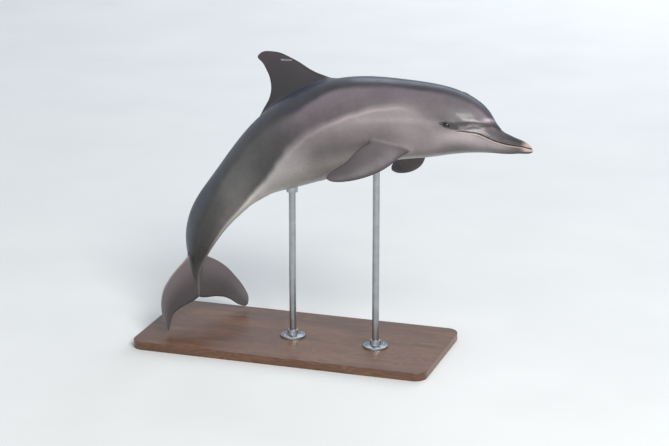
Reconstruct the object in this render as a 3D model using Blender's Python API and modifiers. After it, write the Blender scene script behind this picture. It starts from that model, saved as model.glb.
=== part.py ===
"""Bottlenose dolphin as a life-size museum model, arched as at the top of a leap.

The animal heads along +X with its back up. Its body is one family of rounded
sections carried along a bent axis; that family is parted by thin cuts into jaws,
melon, head, neck, chest, trunk, loins and tail stock. Fins are tapered blades set
against the body. Two rods rise from a flat base into sockets in the belly.
The origin is the middle of the base's underside.
"""
import bpy
import bmesh
import numpy as np
from math import cos, pi, radians, sin
from mathutils import Vector
from mathutils.bvhtree import BVHTree

# ---- driving dimensions: metres, degrees, and stations as shares of LENGTH ----
LENGTH = 2.2                      # snout tip to fluke notch, along the bent axis
SNOUT = (1.13, -0.03, 1.045)      # the snout tip over the middle of the base
GAP = 0.0003                      # clearance between neighbouring solids
AXIS_STEPS = 1200

# How steeply the axis climbs towards the snout, how the body rolls about it, and where
# it points sideways, in degrees by station.
PITCH = (
    (0, -7), (.05, -10), (.10, -16), (.15, -14), (.20, -6), (.26, 1), (.34, 8.5), (.43, 18.5),
    (.52, 26.5), (.60, 35.5), (.68, 45), (.77, 51.5), (.84, 61), (.90, 76), (.95, 91), (1, 98),
)
ROLL = ((0, 14), (.3, 14), (.5, 11.2), (.7, 0), (1, 0))     # the back leans to the left
HEADING = ((0, 2), (.2, 0), (.4, -2), (.6, -7), (.8, -14), (.9, -19), (1, -27))

# station, half width, height above axis, depth below axis (mm), fullness above, below
SECTIONS = (
    (0.000, 24, 22, 20, 0.10, 0.10),      # snout tip, before it is rounded off
    (0.020, 31, 35, 20, 0.10, 0.10),
    (0.040, 38, 43, 31, 0.10, 0.10),
    (0.060, 50, 52, 41, 0.05, 0.10),      # end of the beak
    (0.080, 66, 68, 51, 0.05, 0.10),
    (0.105, 85, 111, 69, 0.00, 0.10),     # melon
    (0.140, 106, 151, 100, 0.00, 0.10),
    (0.180, 121, 171, 133, 0.00, 0.10),   # eyes
    (0.230, 139, 181, 160, 0.00, 0.10),
    (0.290, 164, 192, 177, 0.00, 0.10),   # flippers
    (0.360, 184, 210, 204, 0.00, 0.10),
    (0.430, 187, 218, 219, 0.00, 0.10),   # greatest girth
    (0.500, 176, 209, 215, -0.05, 0.05),
    (0.580, 152, 172, 192, -0.10, 0.00),
    (0.660, 118, 130, 148, -0.20, -0.10),
    (0.740, 84, 109, 119, -0.30, -0.20),
    (0.810, 60, 104, 101, -0.40, -0.30),
    (0.870, 46, 88, 84, -0.40, -0.40),    # keeled tail stock
    (0.920, 34, 55, 54, -0.30, -0.30),
    (0.960, 24, 22, 21, -0.20, -0.20),
    (1.000, 12, 9, 9, 0.00, 0.00),        # fluke notch
)
SNOUT_ROUNDING = 0.022            # share of the length taken by the rounded snout

# Lines on the head, as angles from the middle of the back round the right side.
MOUTH_LINE = ((0, 62), (.024, 70), (.045, 79), (.066, 82), (.087, 81.5), (.107, 81), (.13, 86), (.155, 92))
MELON_LINE = ((.073, 4), (.08, 20), (.094, 39), (.11, 57), (.124, 66), (.14, 75), (.155, 80))

# Stations of the cuts, from the corner of the mouth back to the flukes.
GAPE, NAPE, NECK_END, CHEST_END = 0.150, 0.205, 0.245, 0.395
TRUNK_END, LOINS_END, STOCK_END = 0.605, 0.750, 0.955
AROUND = 28                       # sides of a body section
RING_SPACING, STOCK_SPACING = 0.024, 0.0165     # stations between rings: body, tail stock
JAW_SPACING, MELON_SPACING = 0.0128, 0.0085

EYE_STATION, EYE_ANGLE = 0.175, 86.0
EYE_RADIUS = 0.018
EYE_BULGE = 0.0045                # how far the eyeball stands out of the head's side
BLOWHOLE_STATION = 0.165
BLOWHOLE_WIDTH, BLOWHOLE_BEND, BLOWHOLE_DEPTH = 0.044, 0.012, 0.008
BLOWHOLE_SLIT = 0.004             # widest gape of the slit
CUT_CLEAR = 0.02                  # how far a cutter stands clear outside the skin

# Fin outlines in mm as (span, chord): how far out from the root, how far forward of it.
# Thickness is a share of the chord; flare is how far a root reaches and how much it swells.
FIN_EDGE, FIN_EDGE_CHORD = 0.0012, 0.030        # half thickness at the rim, where the chord is longer
DORSAL_FOOT = (0.455, 0.62)       # the stations that the dorsal fin stands between
DORSAL_LEADING = (
    (-90, 140), (-5, 79), (67, 29), (119, 3), (168, -27), (213, -59), (246, -98), (265, -136), (264, -160),
)
DORSAL_TRAILING = (
    (-60, -350), (12, -318), (35, -288), (64, -225), (113, -181), (139, -170), (192, -160), (238, -165),
    (256, -168), (264, -160),
)
DORSAL_THICKNESS, DORSAL_FLARE = 0.13, (0.07, 0.010)
FLIPPER_LEADING = (
    (-130, 38), (-80, 40), (-12, 57), (59, 80), (140, 90), (220, 85), (298, 65), (327, 48), (338, 32),
)
FLIPPER_TRAILING = (
    (-60, -88), (20, -75), (96, -50), (126, -47), (159, -38), (221, -8), (284, 8), (322, 20), (338, 32),
)
FLIPPER_THICKNESS, FLIPPER_FLARE = 0.14, (0.05, 0.008)
# side: station and angle of the root, then degrees of spread, droop and twist
FLIPPERS = {"right": (0.280, 131, 31, 21, 40), "left": (0.262, 134, 50, 17, 29)}
HALF_GAP_MM = GAP / 2 * 1000
FLUKE_LEADING = (
    (HALF_GAP_MM, 213), (25, 191), (75, 156), (120, 131), (164, 101), (205, 64), (235, 22), (257, -20),
    (269, -60), (271, -92), (262, -122),
)
FLUKE_TRAILING = (
    (HALF_GAP_MM, -30), (14, -38), (40, -46), (80, -52), (120, -59), (158, -72), (190, -92), (213, -113),
    (232, -128), (249, -133), (262, -122),
)
FLUKE_THICKNESS, FLUKE_FLARE = 0.075, (0.03, 0.003)
TIP_SWEEP = radians(25)           # the way the fluke tips bend: this far back from the span
TIP_DROOP, TIP_START, TIP_RUN = 0.060, 0.150, 0.146

BASE_LENGTH, BASE_WIDTH, BASE_HEIGHT = 1.44, 0.64, 0.040
BASE_CORNER, BASE_EDGE = 0.060, 0.004
ROD_RADIUS = 0.016
ROD_STATIONS = (("front", 0.335), ("rear", 0.535))
SOCKET_DEPTH = 0.060              # how far a rod goes into the belly
COLLAR_RADIUS, COLLAR_DROP, COLLAR_RISE = 0.027, 0.020, 0.030    # below and above the belly
FLANGE_RADIUS, FLANGE_HEIGHT, FLANGE_EDGE = 0.060, 0.010, 0.003
HUB_RADIUS, HUB_HEIGHT, HUB_EDGE, HUB_FILLET = 0.026, 0.034, 0.002, 0.004
ROUND_SIDES = 20                  # sides of the stand's round parts

# Colours of the finishes, linear.
JAW_COLOURS = {"upper_jaw": (.075, .062, .064), "lower_jaw": (.19, .17, .175)}
MELON_COLOUR, EYE_COLOUR = (.066, .058, .061), (.02, .016, .014)
DORSAL_COLOUR, FLIPPER_COLOUR, FLUKE_COLOUR = (.058, .056, .058), (.085, .075, .08), (.07, .062, .065)
WOOD_COLOUR, STEEL_COLOUR = (.06, .035, .022), (.52, .52, .54)

COLLECTION = "bottlenose_dolphin"
CUTTERS = "dolphin_cutters"


# ---- curves and the bent axis ----
def natural_spline(points):
    """A smooth curve through (place, value) points, with no bend at its ends."""
    knots, values = np.array(points, float).T
    steps = np.diff(knots)
    count = len(knots)
    system = np.eye(count)
    bends = np.zeros(count)
    for i in range(1, count - 1):
        system[i, i - 1:i + 2] = steps[i - 1], 2 * (steps[i - 1] + steps[i]), steps[i]
        slope_after = (values[i + 1] - values[i]) / steps[i]
        slope_before = (values[i] - values[i - 1]) / steps[i - 1]
        bends[i] = 6 * (slope_after - slope_before)
    bends = np.linalg.solve(system, bends)

    def curve(place):
        place = np.asarray(place, float)
        i = np.clip(np.searchsorted(knots, place) - 1, 0, count - 2)
        before = (knots[i + 1] - place) / steps[i]
        after = (place - knots[i]) / steps[i]
        bend = (before**3 - before) * bends[i] + (after**3 - after) * bends[i + 1]
        return before * values[i] + after * values[i + 1] + bend * steps[i]**2 / 6

    return curve


def bent_axis():
    """Points along the axis from the snout, with the directions forward, right and up."""
    station = np.linspace(0, 1, AXIS_STEPS + 1)
    pitch = np.radians(natural_spline(PITCH)(station))
    heading = np.radians(natural_spline(HEADING)(station))
    roll = np.radians(natural_spline(ROLL)(station))[:, None]
    level = np.stack([np.sin(heading), -np.cos(heading), 0 * heading], -1)
    ahead = np.stack([np.cos(heading), np.sin(heading), 0 * heading], -1)
    forward = ahead * np.cos(pitch)[:, None] + np.array([0, 0, 1]) * np.sin(pitch)[:, None]
    right = level * np.cos(roll) + np.cross(level, forward) * np.sin(roll)
    steps = -(forward[1:] + forward[:-1]) / 2 * LENGTH / AXIS_STEPS
    place = np.array(SNOUT) + np.vstack([np.zeros(3), np.cumsum(steps, axis=0)])
    return station, place, forward, right, np.cross(right, forward)


AXIS = bent_axis()
PROFILE = [natural_spline([(row[0], row[i]) for row in SECTIONS]) for i in range(1, 6)]
mouth_angle = natural_spline(MOUTH_LINE)
melon_angle = natural_spline(MELON_LINE)


def axis_at(station):
    """Place, forward, right and up on the axis at each station."""
    return [np.stack([np.interp(station, AXIS[0], part[:, i]) for i in range(3)], -1) for part in AXIS[1:]]


def section_point(station, angle, grow=0.0):
    """Offsets to the right and up from the axis; angle 0 is the back, 90 the right side."""
    width, above, below, full_above, full_below = [curve(station) for curve in PROFILE]
    width, above, below = (part / 1000 + grow for part in (width, above, below))
    turn = np.radians(angle)
    fullness = np.where(np.cos(turn) > 0, full_above, full_below)
    rounding = np.sqrt(np.clip(1 - (1 - np.minimum(station / SNOUT_ROUNDING, 1))**2, 0, 1))
    up = np.cos(turn) * ((above + below) / 2 + (above - below) / 2 * np.cos(turn))
    right = width * np.sin(turn) * (1 + fullness * np.cos(turn)**2)
    return right * rounding, up * rounding


def in_space(station, right, up):
    """Turns offsets from the axis into points in space."""
    place, _, right_way, up_way = axis_at(station)
    return place + right_way * np.asarray(right)[..., None] + up_way * np.asarray(up)[..., None]


def body_point(station, angle, grow=0.0):
    """A point on the body's surface, or that far outside it."""
    return in_space(station, *section_point(station, angle, grow))


# ---- mesh helpers ----
def collection(name):
    found = bpy.data.collections.get(name) or bpy.data.collections.new(name)
    if found.name not in bpy.context.scene.collection.children:
        bpy.context.scene.collection.children.link(found)
    return found


def add_object(name, mesh, holder=COLLECTION):
    piece = bpy.data.objects.new(name, mesh)
    collection(holder).objects.link(piece)
    if holder == CUTTERS:
        piece.hide_render = True
        piece.display_type = "WIRE"
    return piece


def mesh_from(work, name):
    """Ends a bmesh: faces point out, and the mesh is named."""
    bmesh.ops.recalc_face_normals(work, faces=work.faces)
    mesh = bpy.data.meshes.new(name)
    work.to_mesh(mesh)
    work.free()
    return mesh


def loft(name, rings, holder=COLLECTION):
    """Skins a stack of rings. A ring of one point closes an end; other ends get a flat face.

    Each side is two triangles, split the same way on every loft, so that a piece and the
    cutter that follows it stay parallel.
    """
    work = bmesh.new()
    rows = [[work.verts.new(point) for point in ring] for ring in rings]
    for row, after in zip(rows, rows[1:]):
        count = max(len(row), len(after))
        for i in range(count):
            j = (i + 1) % count
            if len(row) == 1:
                work.faces.new((row[0], after[i], after[j]))
            elif len(after) == 1:
                work.faces.new((row[i], after[0], row[j]))
            else:
                work.faces.new((row[i], after[i], after[j]))
                work.faces.new((row[i], after[j], row[j]))
    for row in (rows[0], rows[-1]):
        if len(row) > 1:
            work.faces.new(row)
    return add_object(name, mesh_from(work, name), holder)


def cut(piece, cutter):
    """Takes the cutter's shape out of the piece."""
    modifier = piece.modifiers.new("cut_" + cutter.name, "BOOLEAN")
    modifier.operation = "DIFFERENCE"
    modifier.solver = "EXACT"
    modifier.object = cutter


def cylinder(name, radius, foot, height, holder=COLLECTION):
    """An upright cylinder standing on the point foot."""
    work = bmesh.new()
    bmesh.ops.create_cone(
        work, cap_ends=True, segments=ROUND_SIDES, radius1=radius, radius2=radius, depth=height,
    )
    bmesh.ops.translate(work, verts=work.verts, vec=Vector(foot) + Vector((0, 0, height / 2)))
    return add_object(name, mesh_from(work, name), holder)


def material(name, colour, roughness, metallic=0.0):
    made = bpy.data.materials.new(name)
    made.use_nodes = True
    shader = made.node_tree.nodes["Principled BSDF"]
    shader.inputs["Base Color"].default_value = (*colour, 1)
    shader.inputs["Roughness"].default_value = roughness
    shader.inputs["Metallic"].default_value = metallic
    return made


def finish(piece, colour, roughness, metallic=0.0, crease=35):
    piece.data.materials.append(material(piece.name + "_finish", colour, roughness, metallic))
    piece.data.shade_smooth()
    piece.data.set_sharp_from_angle(angle=radians(crease))


# ---- body ----
def stations_between(start, end, spacing):
    """Evenly spaced stations from start to end, half a gap clear of both."""
    count = max(2, round((end - start) / spacing) + 1)
    trim = GAP / 2 / LENGTH
    return np.linspace(start + trim, end - trim, count)


def body_rings(stations, grow=0.0):
    angles = np.arange(AROUND) * 360 / AROUND
    return [body_point(np.full(AROUND, s), angles, grow) for s in stations]


def make_trunk_pieces():
    """Head to tail stock: plain lofts between the cuts, and the station lists they used."""
    cuts = (
        ("head", GAPE, NAPE, RING_SPACING, (.062, .056, .058)),
        ("neck", NAPE, NECK_END, RING_SPACING, (.082, .078, .079)),
        ("chest", NECK_END, CHEST_END, RING_SPACING, (.125, .118, .118)),
        ("trunk", CHEST_END, TRUNK_END, RING_SPACING, (.105, .10, .105)),
        ("loins", TRUNK_END, LOINS_END, RING_SPACING, (.07, .068, .072)),
        ("tail_stock", LOINS_END, STOCK_END, STOCK_SPACING, (.045, .044, .046)),
    )
    pieces, used = {}, []
    for name, start, end, spacing, colour in cuts:
        stations = stations_between(start, end, spacing)
        pieces[name] = loft(name, body_rings(stations))
        finish(pieces[name], colour, 0.35)
        used.extend(stations)
    return pieces, used


def half_ring(station, edge_angle, upper, lift, across=3, arc=17):
    """One ring of a jaw: an arc of the section and a flat floor or roof across the mouth."""
    if upper:
        angles = np.linspace(-edge_angle, edge_angle, arc)
    else:
        angles = np.linspace(edge_angle, 360 - edge_angle, arc)
    right, up = section_point(np.full(arc, station), angles)
    floor = np.linspace(right[-1], right[0], across)[1:-1]
    level = up[0] + lift
    right = np.concatenate([right, floor])
    up = np.concatenate([up, np.full(len(floor), up[0])])
    up = np.maximum(up, level) if upper else np.minimum(up, level)
    return in_space(np.full(len(right), station), right, up)


def jaw_stations():
    """Close together round the snout tip, then even to the corner of the mouth."""
    rounded = SNOUT_ROUNDING * (1 - np.cos(np.radians((14, 28, 44, 62, 90))))
    return np.concatenate([rounded, stations_between(SNOUT_ROUNDING, GAPE, JAW_SPACING)[1:]])


def make_jaws_and_melon():
    """Lower jaw below the mouth line; above it the upper jaw, and the melon on top of that."""
    stations = jaw_stations()
    jaws = {}
    for name, colour in JAW_COLOURS.items():
        upper = name == "upper_jaw"
        lift = GAP / 2 if upper else -GAP / 2
        tip = in_space(np.zeros(1), np.zeros(1), np.array([lift]))
        rings = [tip] + [half_ring(s, float(mouth_angle(s)), upper, lift) for s in stations]
        jaws[name] = loft(name, rings)
        finish(jaws[name], colour, 0.3)
    seat = stations_between(MELON_LINE[0][0], GAPE, MELON_SPACING)
    melon = loft("melon", [half_ring(s, float(melon_angle(s)), True, 0.0) for s in seat])
    finish(melon, MELON_COLOUR, 0.3)
    return jaws, melon, seat


def melon_cutter(seat):
    """A block that follows the melon's floor a gap below it, and clears all above."""
    clear_above = 0.25
    rings = []
    for s in np.concatenate([[seat[0] - GAP / LENGTH], seat, [GAPE + 0.01]]):
        right, up = section_point(np.array([s]), np.array([float(melon_angle(s))]))
        half, floor = right[0] + CUT_CLEAR, up[0] - GAP
        top = floor + clear_above
        corners = ((-half, floor), (half, floor), (half, top), (-half, top))
        rings.append(in_space(np.full(4, s), [c[0] for c in corners], [c[1] for c in corners]))
    return loft("melon_seat", rings, CUTTERS)


def surface_frame(station, angle):
    """A point on the body with its outward normal and the direction towards the snout."""
    nudge = 1e-3
    here = body_point(np.array([station]), np.array([angle]))[0]
    ahead = body_point(np.array([station - nudge]), np.array([angle]))[0] - here
    around = body_point(np.array([station]), np.array([angle + 0.5]))[0] - here
    normal = np.cross(around, ahead)
    normal /= np.linalg.norm(normal)
    if normal @ (here - axis_at(np.array([station]))[0][0]) < 0:
        normal = -normal
    return here, normal, ahead / np.linalg.norm(ahead)


def ball(name, centre, radius, holder=COLLECTION):
    work = bmesh.new()
    bmesh.ops.create_uvsphere(work, u_segments=16, v_segments=10, radius=radius)
    bmesh.ops.translate(work, verts=work.verts, vec=Vector(centre))
    return add_object(name, mesh_from(work, name), holder)


def make_eyes(head):
    """Each eyeball sits in its own socket and stands a little out of the head's side."""
    for name, angle in (("right", EYE_ANGLE), ("left", -EYE_ANGLE)):
        here, normal, _ = surface_frame(EYE_STATION, angle)
        centre = here - normal * (EYE_RADIUS - EYE_BULGE)
        finish(ball("eye_" + name, centre, EYE_RADIUS), EYE_COLOUR, 0.08)
        cut(head, ball("socket_" + name, centre, EYE_RADIUS + GAP * 1.5, CUTTERS))


def cut_blowhole(head):
    """A closed crescent slit on top of the head, its ends curving forward."""
    here, normal, ahead = surface_frame(BLOWHOLE_STATION, 0.0)
    side = np.cross(ahead, normal)
    rings = []
    for across in np.linspace(-1, 1, 9):
        middle = here + side * across * BLOWHOLE_WIDTH / 2 + ahead * across**2 * BLOWHOLE_BEND
        half = BLOWHOLE_SLIT / 2 * (1 - 0.7 * across**2)
        depth = BLOWHOLE_DEPTH * (1 - 0.5 * across**2)
        corners = ((-half, -depth), (half, -depth), (half, CUT_CLEAR), (-half, CUT_CLEAR))
        rings.append([middle + ahead * along + normal * high for along, high in corners])
    cut(head, loft("blowhole_slit", rings, CUTTERS))


# ---- fins ----
def edge_curve(points):
    """A smooth curve through (span, chord) points, by share of its length."""
    points = np.array(points, float) / 1000
    reach = np.concatenate([[0], np.cumsum(np.linalg.norm(np.diff(points, axis=0), axis=1))])
    reach /= reach[-1]
    parts = [natural_spline(list(zip(reach, points[:, i]))) for i in range(2)]
    return lambda share: np.stack([part(share) for part in parts], -1)


def blade(name, origin, span_way, chord_way, leading, trailing, thickness, flare, body, spans=13, bend=None):
    """A fin: streamlined sections between a leading and a trailing edge that meet at the tip.

    Each section is a rounded nose running back to a thin edge, as thick as a share of its
    chord. Near the body the blade swells by flare, which makes its root spread out.
    """
    chords = 8
    normal_way = np.cross(span_way, chord_way)
    front, back = edge_curve(leading), edge_curve(trailing)
    shares = np.sin(np.linspace(0, pi / 2, spans))
    shares[-1] = 0.997
    turn = np.linspace(0, 2 * pi, 2 * chords, endpoint=False)
    chord_share = (1 - np.cos(turn)) / 2
    side = np.where(turn < pi, 1.0, -1.0)
    nose = 1.4845 * np.sqrt(chord_share) - 0.63 * chord_share - 1.758 * chord_share**2
    nose += 1.4215 * chord_share**3 - 0.518 * chord_share**4
    rings = []
    for share in shares:
        start, end = front(share), back(share)
        chord = np.linalg.norm(end - start)
        flat = start + (end - start) * chord_share[:, None]
        edge = FIN_EDGE * min(1, chord / FIN_EDGE_CHORD) * np.abs(np.sin(turn))
        high = side * (nose * thickness * chord + edge)
        if bend:
            high = high + bend(flat)
        rings.append(origin + flat[:, :1] * span_way + flat[:, 1:] * chord_way + high[:, None] * normal_way)
    tip = front(1.0)
    lift = bend(tip[None])[0] if bend else 0.0
    rings.append([origin + tip[0] * span_way + tip[1] * chord_way + lift * normal_way])
    piece = loft(name, rings)
    spread_root(piece, body, flare, span_way)
    return piece


def spread_root(piece, body, flare, span_way):
    """Moves the blade's skin outwards near the body, most of all where they meet."""
    reach, swell = flare
    work = bmesh.new()
    work.from_mesh(piece.data)
    work.normal_update()
    moves = []
    for vertex in work.verts:
        place, normal, _, distance = body.find_nearest(vertex.co)
        outside = distance if (vertex.co - place).dot(normal) > 0 else 0.0
        across = Vector(vertex.normal - Vector(span_way) * vertex.normal.dot(Vector(span_way)))
        moves.append(across * swell * max(0.0, 1 - outside / reach)**3)
    for vertex, move in zip(work.verts, moves):
        vertex.co += move
    work.to_mesh(piece.data)
    work.free()


def unit(vector):
    vector = np.array(vector, float)
    return vector / np.linalg.norm(vector)


def make_dorsal_fin(body):
    """Upright on the back, swept, with a concave rear edge."""
    foot_front, foot_rear = (body_point(np.array([s]), np.zeros(1))[0] for s in DORSAL_FOOT)
    right = axis_at(np.array([sum(DORSAL_FOOT) / 2]))[2][0]
    back_way = unit(foot_rear - foot_front)
    across = unit(right - right.dot(back_way) * back_way)
    up_way = unit(np.cross(back_way, across))
    fin = blade(
        "dorsal_fin", foot_front, up_way, -back_way, DORSAL_LEADING, DORSAL_TRAILING, DORSAL_THICKNESS,
        DORSAL_FLARE, body,
    )
    finish(fin, DORSAL_COLOUR, 0.35)
    return fin


def make_flipper(side, body):
    """A flipper on the lower side of the chest, pointing back, out by spread and down by droop.

    Twist turns its front edge down.
    """
    station, angle, *turns = FLIPPERS[side]
    spread, droop, twist = (radians(turn) for turn in turns)
    mirror = 1 if side == "right" else -1
    _, forward, right, up = (part[0] for part in axis_at(np.array([station])))
    level = right * mirror * sin(spread) - forward * cos(spread)
    span_way = level * cos(droop) - up * sin(droop)
    front_way = unit(forward - span_way * forward.dot(span_way))
    under = np.cross(front_way, span_way) * mirror
    chord_way = front_way * cos(twist) + under * sin(twist)
    root = body_point(np.array([station]), np.array([angle * mirror]))[0]
    fin = blade(
        "flipper_" + side, root, span_way, chord_way, FLIPPER_LEADING, FLIPPER_TRAILING, FLIPPER_THICKNESS,
        FLIPPER_FLARE, body,
    )
    finish(fin, FLIPPER_COLOUR, 0.35)
    return fin


def make_fluke(side, body):
    """Half of the tail fluke, from the middle of the notch to its swept tip, which droops."""
    mirror = 1 if side == "right" else -1
    place, forward, right, _ = (part[0] for part in axis_at(np.array([1.0])))

    def droop(flat):
        along = flat[:, 0] * cos(TIP_SWEEP) - flat[:, 1] * sin(TIP_SWEEP)
        return -TIP_DROOP * np.clip((along - TIP_START) / TIP_RUN, 0, None)**2 * mirror

    fin = blade(
        "fluke_" + side, place, right * mirror, forward, FLUKE_LEADING, FLUKE_TRAILING, FLUKE_THICKNESS,
        FLUKE_FLARE, body, spans=15, bend=droop,
    )
    finish(fin, FLUKE_COLOUR, 0.35)
    return fin


# ---- stand ----
def make_base():
    """A flat slab with rounded corners and eased edges."""
    work = bmesh.new()
    bmesh.ops.create_cube(work, size=1)
    bmesh.ops.scale(work, verts=work.verts, vec=(BASE_LENGTH, BASE_WIDTH, BASE_HEIGHT))
    bmesh.ops.translate(work, verts=work.verts, vec=(0, 0, BASE_HEIGHT / 2))
    upright = [e for e in work.edges if abs(e.verts[0].co.z - e.verts[1].co.z) > BASE_HEIGHT / 2]
    bmesh.ops.bevel(work, geom=upright, offset=BASE_CORNER, segments=6, profile=0.5, affect="EDGES")
    rims = [e for e in work.edges if len(e.link_faces) == 2 and e.calc_face_angle() > radians(60)]
    bmesh.ops.bevel(work, geom=rims, offset=BASE_EDGE, segments=2, profile=0.5, affect="EDGES")
    finish(add_object("stand_base", mesh_from(work, "stand_base")), WOOD_COLOUR, 0.4)


def belly_height(x, y, tree):
    """Height of the underside of the body over a point of the floor."""
    place, _, _, _ = tree.ray_cast(Vector((x, y, BASE_HEIGHT)), Vector((0, 0, 1)))
    return place.z


def turned(name, profile, x, y, z):
    """A round part from its (radius, height) profile, outer side from the top down."""
    mesh = bpy.data.meshes.new(name)
    points = [(radius, 0, height) for radius, height in profile]
    mesh.from_pydata(points, [(i, i + 1) for i in range(len(points) - 1)], [])
    piece = add_object(name, mesh)
    screw = piece.modifiers.new("turn", "SCREW")
    screw.steps = screw.render_steps = ROUND_SIDES
    screw.use_merge_vertices = True
    screw.merge_threshold = 0.00005
    piece.location = (x, y, z)
    return piece


def make_stand(pieces, cutter, tree):
    """Base, and for each rod a flange, the rod with its socket, and a collar at the belly."""
    make_base()
    foot = BASE_HEIGHT + GAP
    inner = ROD_RADIUS + GAP
    flange = (
        (inner, HUB_HEIGHT), (HUB_RADIUS - HUB_EDGE, HUB_HEIGHT), (HUB_RADIUS, HUB_HEIGHT - HUB_EDGE),
        (HUB_RADIUS, FLANGE_HEIGHT + HUB_FILLET), (HUB_RADIUS + HUB_FILLET, FLANGE_HEIGHT),
        (FLANGE_RADIUS - FLANGE_EDGE, FLANGE_HEIGHT), (FLANGE_RADIUS, FLANGE_HEIGHT - FLANGE_EDGE),
        (FLANGE_RADIUS, 0), (inner, 0), (inner, HUB_HEIGHT),
    )
    for (label, station), body_name in zip(ROD_STATIONS, ("chest", "trunk")):
        x, y = (float(v) for v in axis_at(np.array([station]))[0][0][:2])
        belly = belly_height(x, y, tree)
        rod = cylinder("stand_rod_" + label, ROD_RADIUS, (x, y, foot), belly + SOCKET_DEPTH - foot)
        bore_foot = belly - 0.1
        bore = cylinder(
            "bore_" + label, inner, (x, y, bore_foot), belly + SOCKET_DEPTH + GAP - bore_foot, CUTTERS,
        )
        cut(pieces[body_name], bore)
        collar = cylinder(
            "stand_collar_" + label, COLLAR_RADIUS, (x, y, belly - COLLAR_DROP), COLLAR_DROP + COLLAR_RISE,
        )
        cut(collar, cutter)
        cut(collar, bore)
        for piece in (rod, collar, turned("stand_flange_" + label, flange, x, y, foot)):
            finish(piece, STEEL_COLOUR, 0.3, 1.0)


# ---- assembly ----
def tree_of(piece):
    work = bmesh.new()
    work.from_mesh(piece.data)
    tree = BVHTree.FromBMesh(work)
    work.free()
    return tree


def main():
    for old in list(bpy.data.objects):
        bpy.data.objects.remove(old, do_unlink=True)
    pieces, used = make_trunk_pieces()
    jaws, melon, seat = make_jaws_and_melon()
    cut(jaws["upper_jaw"], melon_cutter(seat))
    make_eyes(pieces["head"])
    cut_blowhole(pieces["head"])

    used[-1] += GAP / LENGTH
    cutter = loft("body_envelope", body_rings(used, GAP), CUTTERS)
    tree = tree_of(cutter)
    fins = [make_dorsal_fin(tree)]
    for side in ("right", "left"):
        fins.append(make_flipper(side, tree))
        fins.append(make_fluke(side, tree))
    for fin in fins:
        cut(fin, cutter)
    make_stand(pieces, cutter, tree)


main()
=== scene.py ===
import bpy
import bmesh
import numpy as np
from functools import partial
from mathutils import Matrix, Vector


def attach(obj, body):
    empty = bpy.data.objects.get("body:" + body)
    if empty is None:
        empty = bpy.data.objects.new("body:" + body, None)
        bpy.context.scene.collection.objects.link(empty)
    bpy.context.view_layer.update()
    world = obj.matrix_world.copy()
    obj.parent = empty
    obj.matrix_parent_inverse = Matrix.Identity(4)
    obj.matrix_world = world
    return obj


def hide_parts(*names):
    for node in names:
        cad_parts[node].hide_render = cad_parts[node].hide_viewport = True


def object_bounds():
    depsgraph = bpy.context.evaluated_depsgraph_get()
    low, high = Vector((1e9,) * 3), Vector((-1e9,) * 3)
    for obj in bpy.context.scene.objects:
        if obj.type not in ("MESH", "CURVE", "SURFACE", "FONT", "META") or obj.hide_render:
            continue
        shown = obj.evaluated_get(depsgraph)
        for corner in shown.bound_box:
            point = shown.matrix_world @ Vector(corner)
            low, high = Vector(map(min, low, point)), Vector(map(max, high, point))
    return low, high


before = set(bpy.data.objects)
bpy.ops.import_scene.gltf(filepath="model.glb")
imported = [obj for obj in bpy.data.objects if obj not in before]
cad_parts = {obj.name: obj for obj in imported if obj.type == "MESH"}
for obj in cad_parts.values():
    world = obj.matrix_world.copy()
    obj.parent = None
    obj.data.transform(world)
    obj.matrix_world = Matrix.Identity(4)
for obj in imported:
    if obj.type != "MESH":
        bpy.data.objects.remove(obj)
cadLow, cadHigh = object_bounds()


# a bent axis with a rounded section at each station, as in the frame: station runs from 0 at the snout
# to 1 at the tail notch, and angle is 0 on the back, 90 on the right side and 180 on the belly
body = {
    "length": 2.2, "snout": (1.13, -0.03, 1.045), "axisSteps": 1200, "snoutRounding": .022,
    "pitch": (
        (0, -7), (.05, -10), (.10, -16), (.15, -14), (.20, -6), (.26, 1), (.34, 8.5), (.43, 18.5),
        (.52, 26.5), (.60, 35.5), (.68, 45), (.77, 51.5), (.84, 61), (.90, 76), (.95, 91), (1, 98)),
    "roll": ((0, 14), (.3, 14), (.5, 11.2), (.7, 0), (1, 0)),
    "heading": ((0, 2), (.2, 0), (.4, -2), (.6, -7), (.8, -14), (.9, -19), (1, -27)),
    "sections": (       # station, half width, above, below in mm, fullness above, below
        (.000, 24, 22, 20, .10, .10), (.020, 31, 35, 20, .10, .10), (.040, 38, 43, 31, .10, .10),
        (.060, 50, 52, 41, .05, .10), (.080, 66, 68, 51, .05, .10), (.105, 85, 111, 69, 0, .10),
        (.140, 106, 151, 100, 0, .10), (.180, 121, 171, 133, 0, .10), (.230, 139, 181, 160, 0, .10),
        (.290, 164, 192, 177, 0, .10), (.360, 184, 210, 204, 0, .10), (.430, 187, 218, 219, 0, .10),
        (.500, 176, 209, 215, -.05, .05), (.580, 152, 172, 192, -.10, 0), (.660, 118, 130, 148, -.20, -.10),
        (.740, 84, 109, 119, -.30, -.20), (.810, 60, 104, 101, -.40, -.30), (.870, 46, 88, 84, -.40, -.40),
        (.920, 34, 55, 54, -.30, -.30), (.960, 24, 22, 21, -.20, -.20), (1.000, 12, 9, 9, 0, 0)),
    "tailSinks": (.955, .997, .30),     # from here to here the tail thins to this share, inside the flukes
    "nudge": (4e-4, .4),                # steps of station and angle that give the outward way
    "searchEvery": 4, "searchRounds": (3, 12), "searchPull": .9, "searchLeast": 1e-4,      # see bodyPlace
}


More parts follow.
